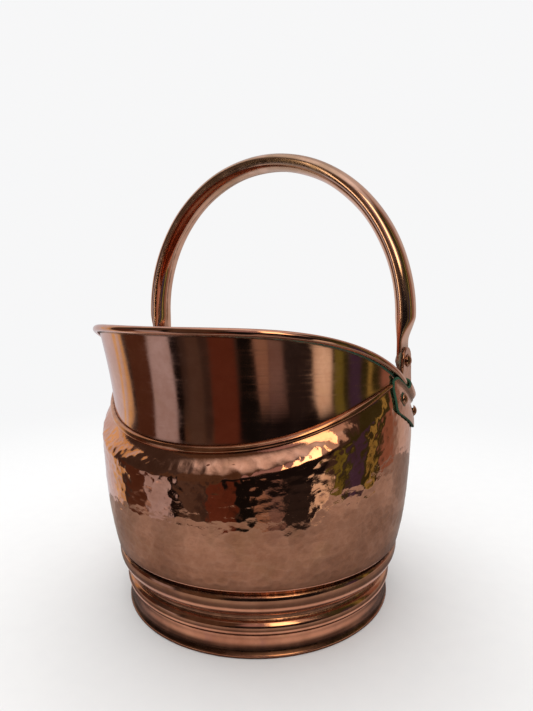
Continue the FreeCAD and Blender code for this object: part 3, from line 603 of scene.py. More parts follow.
def ear_profiles():
    """Inner face of the ear sheet: up the wall, out over the rolled rim, then the flat lug."""
    centre_r, centre_z = rim_r(EAR_AZIMUTHS), rim_z(EAR_AZIMUTHS)
    over = CURL_R + LIP_SHEET / 2 + 0.18 + 0.25
    lug = np.minimum(LUG_X / np.sin(np.radians(EAR_AZIMUTHS)), centre_r + over - 0.3)
    rows_r, rows_z = [], []
    for azimuth, rim, rim_height, face in zip(EAR_AZIMUTHS, centre_r, centre_z, lug):
        bend_r = face + EAR_BEND
        bend_z = rim_height + math.sqrt((over + EAR_BEND) ** 2 - (bend_r - rim) ** 2)
        meet = math.degrees(math.atan2(bend_z - rim_height, bend_r - rim))
        wall_z = rim_height - 44.0 + 37.0 * np.arange(21) / 20.0
        wall_r = body_radius(azimuth, np.minimum(wall_z, joint_z(azimuth) - 0.2)) + 0.22
        roll = np.radians(np.linspace(-62.0, meet, 24))
        bend = np.radians(np.linspace(meet + 180.0, 180.0, 16))[1:]
        rows_r.append(np.concatenate([wall_r, rim + over * np.cos(roll),
                                      bend_r + EAR_BEND * np.cos(bend), np.full(13, face)]))
        rows_z.append(np.concatenate([wall_z, rim_height + over * np.sin(roll),
                                      bend_z + EAR_BEND * np.sin(bend),
                                      bend_z + 3.5 * np.arange(1, 14)]))
    R, Z = resample(np.array(rows_r), np.array(rows_z), 260)
    soften(R, 10)
    soften(Z, 10)
    return R, Z


EAR_IN = ear_profiles()
EAR_OUT = offset(*EAR_IN, -EAR_SHEET)
EAR_SAMPLES = EAR_IN[0].shape[1]
EAR_PITCH = float(np.mean(np.sum(np.hypot(np.diff(EAR_IN[0], axis=1), np.diff(EAR_IN[1], axis=1)),
                                 axis=1))) / (EAR_SAMPLES - 1)
# Outer face by azimuth and even steps of height
EAR_HEIGHT_STEP = 0.4
EAR_HEIGHTS = np.arange(140.0, 262.0, EAR_HEIGHT_STEP)
EAR_OUT_BY_HEIGHT = np.array([np.interp(EAR_HEIGHTS, np.maximum.accumulate(z), r)
                              for r, z in zip(*EAR_OUT)])


def ear_row(azimuth):
    return (azimuth - EAR_AZIMUTHS[0]) / (EAR_AZIMUTHS[1] - EAR_AZIMUTHS[0])


def bilinear(table, row, column):
    row = np.clip(row, 0, table.shape[0] - 1.001)
    column = np.clip(column, 0, table.shape[1] - 1.001)
    i, j = row.astype(int), column.astype(int)
    u, v = row - i, column - j
    return (table[i, j] * (1 - u) * (1 - v) + table[i + 1, j] * u * (1 - v)
            + table[i, j + 1] * (1 - u) * v + table[i + 1, j + 1] * u * v)


def ear_outer_radius(y, z):
    radius = 145.5
    for _ in range(6):
        azimuth = np.degrees(np.arccos(np.clip(-y / radius, -1, 1)))
        radius = bilinear(EAR_OUT_BY_HEIGHT, ear_row(azimuth),
                          (z - EAR_HEIGHTS[0]) / EAR_HEIGHT_STEP)
    return float(radius)


def sheet_point(face, u, k):
    """Point on an ear face from unrolled coordinates: u round the bucket, k along the sheet."""
    azimuth = np.degrees(u / EAR_WALL_R)
    r, z = (bilinear(table, ear_row(azimuth), k / EAR_PITCH) for table in face)
    return np.stack([r * np.sin(np.radians(azimuth)), -r * np.cos(np.radians(azimuth)), z], -1)


def unroll(y, z):
    """Unrolled coordinates of points of the outer face given by their side view (y, z)."""
    azimuth = np.degrees(np.arccos(np.clip(-y / 145.5, -1, 1)))
    k = np.zeros_like(y)
    samples = np.arange(EAR_SAMPLES)
    for m in range(len(y)):
        for _ in range(8):
            row = min(max(ear_row(azimuth[m]), 0), len(EAR_AZIMUTHS) - 1.001)
            i = int(row)
            line_r, line_z = (table[i] * (1 - (row - i)) + table[i + 1] * (row - i)
                              for table in EAR_OUT)
            k[m] = np.interp(z[m], np.maximum.accumulate(line_z) + 1e-6 * samples,
                             samples) * EAR_PITCH
            r = np.interp(k[m] / EAR_PITCH, samples, line_r)
            seen = math.degrees(math.acos(max(-1, min(1, -y[m] / r))))
            azimuth[m] = 0.5 * azimuth[m] + 0.5 * seen
    return np.stack([np.radians(azimuth) * EAR_WALL_R, k], -1)


def side_y(azimuth, radius=EAR_WALL_R):
    return -radius * math.cos(math.radians(azimuth))


def round_corners(corners, n=6):
    """Closed outline from (y, z, corner radius) rows."""
    points = []
    for i, (*corner, radius) in enumerate(corners):
        before, here = np.array(corners[i - 1][:2]), np.array(corner)
        after = np.array(corners[(i + 1) % len(corners)][:2])
        v1, v2 = before - here, after - here
        l1, l2 = np.linalg.norm(v1), np.linalg.norm(v2)
        d = min(radius, 0.47 * l1, 0.47 * l2)
        start, end = here + v1 / l1 * d, here + v2 / l2 * d
        for k in range(n + 1):
            t = k / n
            points.append((1 - t) ** 2 * start + 2 * t * (1 - t) * here + t ** 2 * end)
    return np.array(points)


def resample_closed(P, step):
    Q = np.vstack([P, P[:1]])
    length = np.concatenate([[0], np.cumsum(np.linalg.norm(np.diff(Q, axis=0), axis=1))])
    n = int(length[-1] / step)
    s = np.arange(n) * length[-1] / n
    return np.stack([np.interp(s, length, Q[:, 0]), np.interp(s, length, Q[:, 1])], -1)


def ear_outline(step):
    """Unrolled outline of shield, neck and round lug, counter-clockwise seen from outside."""
    def rim(azimuth):
        return float(rim_z(azimuth))

    lug = [(PIVOT_Y + LUG_R * math.cos(t), PIVOT_Z + LUG_R * math.sin(t), 0.8)
           for t in np.radians(np.linspace(0, 180, 15))]
    corners = [
        (side_y(81.2), 187.5, 7.0), (side_y(104.5), 161.5, 9.0), (side_y(111.0), 163.5, 5.0),
        (side_y(111.0), rim(111.0) - 5.0, 2.5), (PIVOT_Y + 15.2, rim(104.5) - 4.0, 1.6),
        (PIVOT_Y + 14.2, rim(104.0) + 4.5, 6.0), *lug, (PIVOT_Y - 15.0, rim(92.0) + 4.5, 6.0),
        (PIVOT_Y - 15.8, rim(91.5) - 4.2, 1.6), (side_y(81.2), rim(81.2) - 5.0, 3.0)]
    outline = resample_closed(round_corners(corners), 0.5)
    outline = resample_closed(unroll(outline[:, 0], outline[:, 1]), step)
    for _ in range(2):
        outline = (np.roll(outline, 1, 0) + 2 * outline + np.roll(outline, -1, 0)) / 4
    return outline


def inset(P, distance):
    """Move a counter-clockwise outline inwards."""
    t = np.roll(P, -1, 0) - np.roll(P, 1, 0)
    t /= np.linalg.norm(t, axis=1)[:, None]
    return P + np.stack([-t[:, 1], t[:, 0]], -1) * distance


def is_inside(P, points):
    x, y = points[:, 0], points[:, 1]
    result = np.zeros(len(points), bool)
    for (x0, y0), (x1, y1) in zip(P, np.roll(P, -1, 0)):
        if y0 != y1:
            result ^= ((y0 > y) != (y1 > y)) & (x < (x1 - x0) * (y - y0) / (y1 - y0) + x0)
    return result


def distance_to(P, points):
    best = np.full(len(points), 1e9)
    for i in range(len(P)):
        start, end = P[i], P[(i + 1) % len(P)]
        side = end - start
        t = np.clip(((points - start) @ side) / (side @ side), 0, 1)
        best = np.minimum(best, np.linalg.norm(points - (start + t[:, None] * side), axis=1))
    return best


def ear_triangles():
    """Unrolled ear as points, faces and each point's distance from the outline."""
    step = 0.6
    outline = ear_outline(step)
    low, high = outline.min(axis=0), outline.max(axis=0)
    u, k = np.meshgrid(np.arange(low[0], high[0], step), np.arange(low[1], high[1], step * 0.8))
    grid = np.stack([u.ravel() + 0.31 * step * (np.arange(u.size) % 2), k.ravel()], -1)
    grid = grid[is_inside(outline, grid)]
    grid = grid[distance_to(outline, grid) > 0.75 + 0.45 * step]
    points = np.vstack([outline, inset(outline, 0.28), inset(outline, 0.75), grid])
    n = len(outline)
    result = delaunay_2d_cdt([Vector(p) for p in points.tolist()],
                             [(i, (i + 1) % n) for i in range(n)], [], 1, 1e-6)
    points = np.array([tuple(v) for v in result[0]])
    return points, [tuple(f) for f in result[2]], distance_to(outline, points)


def ear_solid():
    """The right ear: points, faces and distance from the edge (zero on the inner face)."""
    flat, tris, distance = ear_triangles()
    u, k = flat[:, 0], flat[:, 1]
    outer, inner = sheet_point(EAR_OUT, u, k), sheet_point(EAR_IN, u, k)
    edge_r = 0.8
    drop = edge_r - np.sqrt(np.maximum(edge_r ** 2 - np.maximum(edge_r - distance, 0) ** 2, 0))
    # Hand-filed unevenness of the sheet
    rough = (0.05 * np.sin(u * 0.41 + k * 0.23) * np.sin(k * 0.37 - 0.8)
             + 0.03 * np.sin(u * 0.9 - k * 0.5))
    sink = ((drop - np.maximum(rough, -0.03)) / EAR_SHEET)[:, None]
    points = np.vstack([outer + (inner - outer) * np.clip(sink, -0.02, 1),
                        inner + (outer - inner) * (0.3 * drop / EAR_SHEET)[:, None]])
    n = len(flat)
    faces = tris + [tuple(n + i for i in reversed(f)) for f in tris]
    edges = [(f[i], f[(i + 1) % len(f)]) for f in tris for i in range(len(f))]
    directed = set(edges)
    faces += [(b, a, n + a, n + b) for a, b in edges if (b, a) not in directed]
    return points, faces, np.concatenate([distance, np.zeros(n)])


def ear_tarnish(points, distance):
    """Green along the edges, round the rivets and the pivot, and under the rim."""
    x, y, z = points.T
    rim = rim_z(np.degrees(np.arctan2(x, -y)))
    rivet = np.full(len(points), 99.0)
    for azimuth, height in EAR_RIVETS:
        rivet = np.minimum(rivet, np.hypot(y - side_y(azimuth, 146.5), z - height))
    pivot = np.hypot(y - PIVOT_Y, z - PIVOT_Z)
    edge = np.clip(1.15 - distance / 1.05, 0, 1) * np.clip(1.2 - (z - rim - 2) / 10.0, 0, 1)
    return np.maximum.reduce([edge,
                              0.9 * np.clip(1.0 - (rivet - 4.9) / 1.8, 0, 1),
                              0.45 * np.clip(1.0 - (pivot - 5.6) / 1.5, 0, 1),
                              0.55 * np.clip(1.0 - np.abs(z - (rim - 5.6)) / 2.6, 0, 1)])


def build_ears():
    points, faces, distance = ear_solid()
    verd = ear_tarnish(points, distance)
    for side, sign in SIDES:
        mirrored = faces if sign > 0 else [f[::-1] for f in faces]
        o = new_object(side + "_ear_plate", points * (sign, 1.0, 1.0), mirrored, {"verd": verd})
        fix_normals(o)
        pieces[side + "_ear"] = o


# ----------------------------------------------------------------- rivets ----
WASHER_T = 1.4
WASHER_X = TAB_X0 - 0.12 - WASHER_T     # inner face
# Washer section: radius, height over its inner face
WASHER = [(PIVOT_R + 0.04, 0.15), (PIVOT_R + 0.25, 0.0), (6.5, 0.0), (6.75, 0.2), (6.8, 0.7),
          (6.75, 1.2), (6.5, WASHER_T), (PIVOT_R + 0.25, WASHER_T), (PIVOT_R + 0.04, 1.25)]


def head_profile(radius, high, shank, length, skirt):
    """Closed (r, h) profile: domed head with a thin edge on a shank; h runs out from the seat."""
    dome_r = (radius * radius + high * high) / (2 * high)
    spread = math.asin(min(1.0, radius / dome_r))
    profile = [(0.05, high)]
    for k in range(1, 15):
        turn = spread * k / 14
        profile.append((dome_r * math.sin(turn), high - dome_r + dome_r * math.cos(turn)))
    return profile + [(radius + 0.06, -0.10), (radius - 0.12, -skirt), (shank + 0.6, -skirt),
                      (shank, -skirt - 0.2), (shank, -length), (0.05, -length)]


def turned(origin, axis, profile, seed):
    """Spin a profile about an axis, slightly out of round; returns a closed grid of points."""
    axis = Vector(axis).normalized()
    u = axis.cross(Vector((0, 0, 1))).normalized()
    v = axis.cross(u)
    phase = np.random.RandomState(seed).uniform(0, 6.28, 4)
    n = 56
    rows = []
    for i in range(n):
        t = 2 * math.pi * i / n
        k = 1 + 0.018 * math.sin(2 * t + phase[0]) + 0.010 * math.sin(3 * t + phase[1])
        row = []
        for r, h in profile:
            lift = 0.07 * math.sin(2 * t + phase[2]) * min(1.0, r / 3.0) if h > 0.1 else 0.0
            row.append(tuple(Vector(origin) + axis * (h + lift)
                             + (u * math.cos(t) + v * math.sin(t)) * (r * k)))
        rows.append(row)
    return np.array(rows)


def grids_object(name, grids):
    faces, start = [], 0
    for P in grids:
        nu, nv = P.shape[:2]
        faces += [[start + i for i in face] for face in grid_faces(nu, nv, True)]
        start += nu * nv
    o = new_object(name, np.vstack([P.reshape(-1, 3) for P in grids]), faces)
    close_tips(o, 0.12)
    return o


def ear_rivet(sign, index, azimuth, height):
    """Head on the ear with its shank, and the smaller head inside the bucket."""
    s, c = math.sin(math.radians(azimuth)), math.cos(math.radians(azimuth))
    y = side_y(azimuth, 147.2)
    seat = max(ear_outer_radius(y + dy, height + dz) for dy in (-3, 0, 3) for dz in (-3, 0, 3))
    seat += 0.20
    inner = min(float(body_radius(azimuth + da, height + dz))
                for da in (-2, 0, 2) for dz in (-5, 0, 5)) - BODY_SHEET - 0.35
    head = head_profile(radius=4.9, high=2.6, shank=2.5, length=seat - inner + 0.2, skirt=0.5)
    tail = head_profile(radius=4.2, high=1.5, shank=2.4, length=0.6, skirt=0.2)
    return [turned((sign * seat * s, -seat * c, height), (sign * s, -c, 0), head,
                   100 + index + (0 if sign > 0 else 10)),
            turned((sign * inner * s, -inner * c, height), (-sign * s, c, 0), tail, 120 + index)]


def pivot_rivet(sign):
    seat = LUG_X + EAR_SHEET + 0.45
    head = head_profile(radius=5.6, high=2.85, shank=PIVOT_R, length=seat - WASHER_X + 0.2,
                        skirt=0.35)
    tail = head_profile(radius=5.2, high=1.95, shank=PIVOT_R, length=0.5, skirt=0.05)
    return [turned((sign * seat, PIVOT_Y, PIVOT_Z), (sign, 0, 0), head, 130),
            turned((sign * (WASHER_X - 0.05), PIVOT_Y, PIVOT_Z), (-sign, 0, 0), tail, 131)]


def build_rivets(side, sign):
    grids = []
    for index, (azimuth, height) in enumerate(EAR_RIVETS):
        grids += ear_rivet(sign, index, azimuth, height)
    pieces[side + "_rivets"] = grids_object(side + "_ear_rivet_heads", grids)
    pieces[side + "_pivot"] = grids_object(side + "_pivot_rivet_head", pivot_rivet(sign))
    washer = turned((sign * WASHER_X, PIVOT_Y, PIVOT_Z), (sign, 0, 0), WASHER, 140)
    pieces[side + "_washer"] = grids_object(side + "_pivot_washer_ring", [washer])


# ------------------------------------------------------------ build pieces ----
SIDES = (("right", 1.0), ("left", -1.0))
pieces = {"body": build_body()}

lip_count = 449
front = np.linspace(-FRONT_LIP_END, FRONT_LIP_END, lip_count)[:, None]
pieces["front_lip"] = build_lip("front_pouring_lip", front, seed=31,
                                tarnish=smooth((np.abs(front) - 62.0) / 22.0))
rear = np.linspace(REAR_LIP_START, 360 - REAR_LIP_START, int(lip_count * 0.87))[:, None]
pieces["rear_lip"] = build_lip("rear_low_lip", rear, seed=37, tarnish=0.4)

front = np.linspace(-FRONT_BEAD_END, FRONT_BEAD_END, 361)[:, None]
pieces["front_bead"] = build_bead("front_seam_bead_round", front,
                                  bead_size((fold(front) - 64.0) / 16.0))
rear = np.linspace(REAR_BEAD_START, 360 - REAR_BEAD_START, 301)[:, None]
pieces["rear_bead"] = build_bead("rear_seam_bead_round", rear,
                                 bead_size((135.0 - fold(rear)) / 22.0))
pieces["foot"] = build_foot()
pieces["base"] = build_base()
pieces["handle"] = build_handle()
build_ears()
for side, sign in SIDES:
    build_rivets(side, sign)


# ---------------------------------------------------------- shader helpers ----
class Field:
    """A node output; arithmetic on it adds Math nodes."""

    def __init__(self, shader, socket):
        self.shader, self.socket = shader, socket

    def __add__(self, other):
        return self.shader.math("ADD", self, other)

    def __radd__(self, other):
        return self.shader.math("ADD", other, self)

    def __sub__(self, other):
        return self.shader.math("SUBTRACT", self, other)

    def __rsub__(self, other):
        return self.shader.math("SUBTRACT", other, self)

    def __mul__(self, other):
        return self.shader.math("MULTIPLY", self, other)

    def clamp(self):
        """Limit to 0..1 in the Math node that made this value."""
        self.socket.node.use_clamp = True
        return self


class Shader:
    """Fills a node tree."""

    def __init__(self, tree):
        self.tree = tree
        tree.nodes.clear()

    def node(self, kind, inputs=None, **props):
        node = self.tree.nodes.new(kind)
        for key, value in props.items():
            setattr(node, key, value)
        for key, value in (inputs or {}).items():
            socket = node.inputs[key]
            if isinstance(value, Field):
                self.tree.links.new(value.socket, socket)
            elif isinstance(value, tuple) and socket.type == "RGBA":
                socket.default_value = (*value, 1.0)
            else:
                socket.default_value = value
        return node

    def add(self, kind, inputs=None, output=0, **props):
        return Field(self, self.node(kind, inputs, **props).outputs[output])

    def math(self, operation, a, b=0.0):
        return self.add("ShaderNodeMath", {0: a, 1: b}, operation=operation)

    def mix(self, factor, a, b):
        return self.add("ShaderNodeMix", {0: factor, 6: a, 7: b}, output=2, data_type="RGBA")

    def ramp(self, value, low, high, start=0.0, end=1.0):
        """Smooth step from `start` at low to `end` at high."""
        return self.add("ShaderNodeMapRange", {0: value, 1: low, 2: high, 3: start, 4: end},
                        interpolation_type="SMOOTHSTEP")

    def noise(self, vector, scale, detail=4.0, rough=0.55, warp=0.0):
        return self.add("ShaderNodeTexNoise", {"Vector": vector, "Scale": scale, "Detail": detail,
                                               "Roughness": rough, "Distortion": warp})

    def attr(self, name):
        return self.add("ShaderNodeAttribute", output="Fac", attribute_name=name)

    def coordinates(self, kind):
        return self.add("ShaderNodeTexCoord", output=kind)

    def length(self, vector):
        return self.add("ShaderNodeVectorMath", {0: vector}, output="Value", operation="LENGTH")

    def split(self, vector):
        node = self.node("ShaderNodeSeparateXYZ", {0: vector})
        return [Field(self, node.outputs[i]) for i in range(3)]

    def ray(self, *kinds):
        """Light Path outputs, all from one node."""
        node = self.node("ShaderNodeLightPath")
        return [Field(self, node.outputs[f"Is {kind} Ray"]) for kind in kinds]

    def output(self, kind, surface):
        self.node(kind, {0: surface})


# -------------------------------------------------------------- materials ----
def copper(name, light, dark, rough, speck, patina, brushed=0.0, verd=0.0, dirt_and_shade=0.0, dull=0.0,
           around="Z", fine=1.0, pits=0.0, ripple=0.0, skirt=0.0, crown=0.0):
    """Copper between two colours. `rough` is its least and greatest roughness, `around` the
    polishing direction; the other numbers are strengths:
    speck, patina: dark specks; golden and purple clouds    brushed, fine: polish lines; grain
    verd, dirt_and_shade, skirt: green; dirt and painted crease shade; painted dark reflection on
    the foot's skirt; from the mesh's attributes
    dull, crown: overall browning; painted dark brown reflection on the handle's top     pits, ripple: pits; planishing, with painted highlight and shade on the hammer marks"""
    material = bpy.data.materials.new(name)
    material.use_nodes = True
    s = Shader(material.node_tree)
    mix, ramp = s.mix, s.ramp
    place = s.coordinates("Object")
    x, y, z = s.split(place)
    # Polishing runs round the bucket's axis, or along the handle's arch
    if around == "Z":
        along, across = s.math("ARCTAN2", x, y) * 0.144, z
    else:
        along, across = s.math("ARCTAN2", x, z - 0.262) * 0.137, y

    def noise(scale, **shape):
        return s.noise(place, scale, **shape)

    def stretched(along_scale, across_scale, layer):
        return s.add("ShaderNodeCombineXYZ",
                     {0: along * along_scale, 1: across * across_scale, 2: layer})

    brush = s.noise(stretched(9.0, 420.0, 0.0), scale=1.0, detail=5.0, rough=0.6, warp=0.2)
    scratch = s.noise(stretched(30.0, 1500.0, 1.7), scale=1.0, detail=3.0, rough=0.6, warp=0.3)
    big = noise(14.0, detail=5.0, rough=0.6, warp=0.4)
    mid = noise(75.0, detail=6.0, rough=0.62, warp=0.3)
    tiny = noise(900.0, detail=4.0, rough=0.6)
    colour = mix(ramp(big, 0.36, 0.64) * 0.6 + ramp(mid, 0.35, 0.68) * 0.4, dark, light)
    # Golden and purple oxide clouds
    golden = noise(33.0, detail=3.0, rough=0.5, warp=0.8)
    colour = mix(ramp(golden, 0.52, 0.72) * (0.5 * patina), colour, (0.66, 0.42, 0.20))
    purple = noise(24.0, detail=4.0, rough=0.55, warp=1.1)
    colour = mix(ramp(purple, 0.56, 0.78) * (0.55 * patina), colour, (0.42, 0.22, 0.24))
    # Dark tarnish specks
    specks = ramp(noise(420.0, detail=3.0, rough=0.7), 0.66, 0.76)
    colour = mix(specks * (ramp(mid, 0.45, 0.7) * speck), colour, (0.16, 0.085, 0.06))
    # Fine scratches are brighter metal
    colour = mix(ramp(scratch, 0.64, 0.74) * (0.10 + 0.25 * brushed), colour, (0.92, 0.62, 0.48))
    roughness = rough[0] + ramp(mid, 0.3, 0.75) * (rough[1] - rough[0])
    roughness = roughness + ramp(brush, 0.45, 0.8) * (0.05 + 0.05 * brushed)
    metallic = 1.0

    def coat(amount, coat_colour, added_roughness):
        amount.clamp()
        return mix(amount, colour, coat_colour), roughness + amount * added_roughness

    if dull > 0:
        colour, roughness = coat((0.55 + big * 0.6) * dull, (0.24, 0.125, 0.08), 0.25)
    if crown > 0:
        # Painted dark reflection on the top of the arch, brown and in patches
        patches = ramp(noise(38.0, detail=4.0, rough=0.6, warp=0.6), 0.30, 0.62, 0.35, 1.0)
        brown = mix(noise(120.0, detail=4.0, rough=0.6), (0.30, 0.18, 0.095), (0.54, 0.35, 0.20))
        colour, roughness = coat(ramp(z, 0.365, 0.400) * patches * crown, brown, 0.14)
    if skirt > 0:
        # Painted dark reflection of the nearby floor on the foot's lower skirt, in patches
        patches = ramp(noise(30.0, detail=4.0, rough=0.6), 0.25, 0.6, 0.75, 1.0)
        colour, roughness = coat(s.attr("skirt") * patches * skirt, (0.050, 0.022, 0.015), 0.12)
    if dirt_and_shade > 0:
        # Darkening from the mesh's attribute: dirt, and painted shade in creases and grooves
        patches = ramp(noise(160.0, detail=5.0, rough=0.65), 0.28, 0.62, 0.35, 1.0)
        colour, roughness = coat(s.attr("dirt_and_shade") * patches * dirt_and_shade, (0.055, 0.032, 0.022), 0.32)
    height = (brush * (0.35 * brushed + 0.05) + scratch * (0.25 * brushed + 0.04)
              + tiny * (0.16 * fine) + mid * (0.5 * fine))
    if ripple > 0:
        # Small planishing ripples between the larger hammer marks, stronger in patches
        ripples = s.noise(stretched(1.0, 1.5, 0.3), scale=240.0, detail=2.0, rough=0.5, warp=1.2)
        patches = ramp(noise(22.0, detail=3.0, rough=0.5), 0.35, 0.65, 0.45, 1.3)
        # Painted highlight on the marks' high spots and painted shade in their bottoms
        marks = s.attr("ham") * 0.75 + (ripples - 0.5) * 1.5
        colour = mix(ramp(marks, 0.0, 0.55) * 0.15, colour, (0.93, 0.56, 0.40))
        colour = mix(ramp(marks, 0.0, -0.55) * 0.20, colour, (0.40, 0.185, 0.115))
        above_foot = ramp(z, 0.060, 0.072) * ripple
        height = height + ripples * patches * (above_foot * 1.5)
    if pits > 0:
        cells = s.add("ShaderNodeTexVoronoi", {"Vector": place, "Scale": 260.0},
                      output="Distance")
        pitted = ramp(cells, 0.20, 0.05) * ramp(noise(50.0, detail=3.0), 0.55, 0.68)
        height = height - pitted * (1.6 * pits)
        colour = mix((pitted * (0.8 * pits)).clamp(), colour, (0.10, 0.05, 0.035))
    if verd > 0:
        # Crusty green with a brown stain round it
        crust = noise(240.0, detail=6.0, rough=0.7, warp=0.3)
        where = s.attr("verd")
        green = ramp(where * 0.9 + crust * 0.75, 0.78, 1.02)
        green = (green * ramp(where, 0.03, 0.2) * verd).clamp()
        green_colour = mix(noise(520.0, detail=4.0, rough=0.7),
                           (0.004, 0.028, 0.015), (0.032, 0.100, 0.052))
        stain = (ramp(where + crust * 0.3, 0.2, 0.75) * (0.65 * verd)).clamp()
        colour = mix(stain, colour, (0.10, 0.062, 0.035))
        colour = mix(green, colour, green_colour)
        roughness = (roughness + green * 0.6).clamp()
        roughness = (roughness + stain * 0.2).clamp()
        height = height + green * crust * 2.2
        metallic = 1.0 - green
    bump = s.add("ShaderNodeBump", {"Strength": 0.55, "Distance": 0.00006, "Height": height})
    inputs = {"Base Color": colour, "Roughness": roughness, "Metallic": metallic, "Normal": bump}
    if brushed > 0 and around == "Z":
        inputs["Anisotropic"] = 0.55 + 0.35 * brushed
        inputs["Tangent"] = s.add("ShaderNodeTangent", direction_type="RADIAL", axis="Z")
    s.output("ShaderNodeOutputMaterial", s.add("ShaderNodeBsdfPrincipled", inputs))
    return material


body_copper = copper(
    "hammered copper", light=(0.83, 0.43, 0.285), dark=(0.62, 0.29, 0.175), rough=(0.025, 0.075),
    speck=0.5, patina=0.30, ripple=1.0, dirt_and_shade=1.0)
lip_copper = copper(
    "polished lip copper", light=(0.80, 0.45, 0.325), dark=(0.60, 0.30, 0.20),
    rough=(0.045, 0.10), brushed=0.45, speck=0.3, verd=1.0, dirt_and_shade=0.6, patina=0.30, fine=0.35)
bead_copper = copper(
    "seam bead copper", light=(0.80, 0.42, 0.25), dark=(0.52, 0.22, 0.115), rough=(0.08, 0.17),
    brushed=0.2, speck=0.6, dirt_and_shade=1.0, patina=0.5, pits=0.3)
foot_copper = copper(
    "foot copper", light=(0.80, 0.41, 0.26), dark=(0.50, 0.23, 0.14), rough=(0.06, 0.15),
    brushed=0.2, speck=0.8, dirt_and_shade=1.0, patina=0.5, pits=0.4, skirt=0.92)
ear_copper = copper(
    "ear copper", light=(0.74, 0.39, 0.26), dark=(0.42, 0.20, 0.12), rough=(0.12, 0.26),
    speck=0.9, verd=1.0, patina=0.5, pits=0.5, fine=1.2)
rivet_copper = copper(
    "rivet copper", light=(0.76, 0.40, 0.26), dark=(0.40, 0.19, 0.115), rough=(0.12, 0.26),
    speck=1.0, patina=0.6, pits=0.7, fine=1.3, dull=0.2)
handle_copper = copper(
    "handle copper", light=(0.96, 0.62, 0.47), dark=(0.74, 0.43, 0.30), rough=(0.06, 0.15),
    brushed=0.08, speck=0.5, verd=0.7, dirt_and_shade=1.0, around="Y", patina=0.45, pits=0.30, fine=0.55,
    crown=0.75)
dull_copper = copper(
    "dull copper", light=(0.62, 0.33, 0.23), dark=(0.34, 0.18, 0.12), rough=(0.24, 0.40),
    speck=1.2, patina=0.7, pits=0.6, dull=0.5)

# Piece, material, replaced node, slot
FITTINGS = [
    ("body", body_copper, "body_shell", "hammered_copper"),
    ("base", dull_copper, "base_plate", "dull_copper"),
    ("foot", foot_copper, "foot_ring", "foot_copper"),
    ("front_lip", lip_copper, "front_lip", "polished_copper"),
    ("rear_lip", lip_copper, "rear_lip", "polished_copper"),
    ("front_bead", bead_copper, "front_seam_bead", "bead_copper"),
    ("rear_bead", bead_copper, "rear_seam_bead", "bead_copper"),
    ("right_ear", ear_copper, "right_ear", "ear_copper"),
    ("left_ear", ear_copper, "left_ear", "ear_copper"),
    ("right_rivets", rivet_copper, "right_ear_rivets", "rivet_copper"),
    ("left_rivets", rivet_copper, "left_ear_rivets", "rivet_copper"),
    ("right_pivot", rivet_copper, "right_pivot_rivet", "rivet_copper"),
    ("left_pivot", rivet_copper, "left_pivot_rivet", "rivet_copper"),
    ("right_washer", rivet_copper, "right_pivot_washer", "rivet_copper"),
    ("left_washer", rivet_copper, "left_pivot_washer", "rivet_copper"),
    ("handle", handle_copper, "handle_tube", "handle_copper"),
]


def set_material(o, material):
    o.data.materials.clear()
    o.data.materials.append(material)


for key, material, node, slot in FITTINGS:
    piece = pieces[key]
    set_material(piece, material)
    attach(piece, "handle" if key == "handle" else "bucket")
    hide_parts(node)
for node in ("rim_wire", "foot_wire"):
    set_material(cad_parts[node], dull_copper)

# ------------------------------------------------------------------ stage ----
scene = bpy.context.scene
scene.view_settings.view_transform = "Standard"
scene.view_settings.look = "None"
CAMERA_AT = (0.2648, -0.4372, 0.2799)
CAMERA_AZIMUTH = math.radians(31.2)
BACKDROP = (0.93, 0.93, 0.935)
DEGREES = 57.29578      # per radian


def from_camera(s, vector):
    """A vector turned so that the camera's azimuth is 0; its z, and its azimuth in degrees."""
    turned_vector = s.add("ShaderNodeVectorRotate", {"Vector": vector, "Angle": -CAMERA_AZIMUTH},
                          rotation_type="Z_AXIS")
    x, y, z = s.split(turned_vector)
    return turned_vector, z, s.math("ARCTAN2", x, y * -1.0) * DEGREES


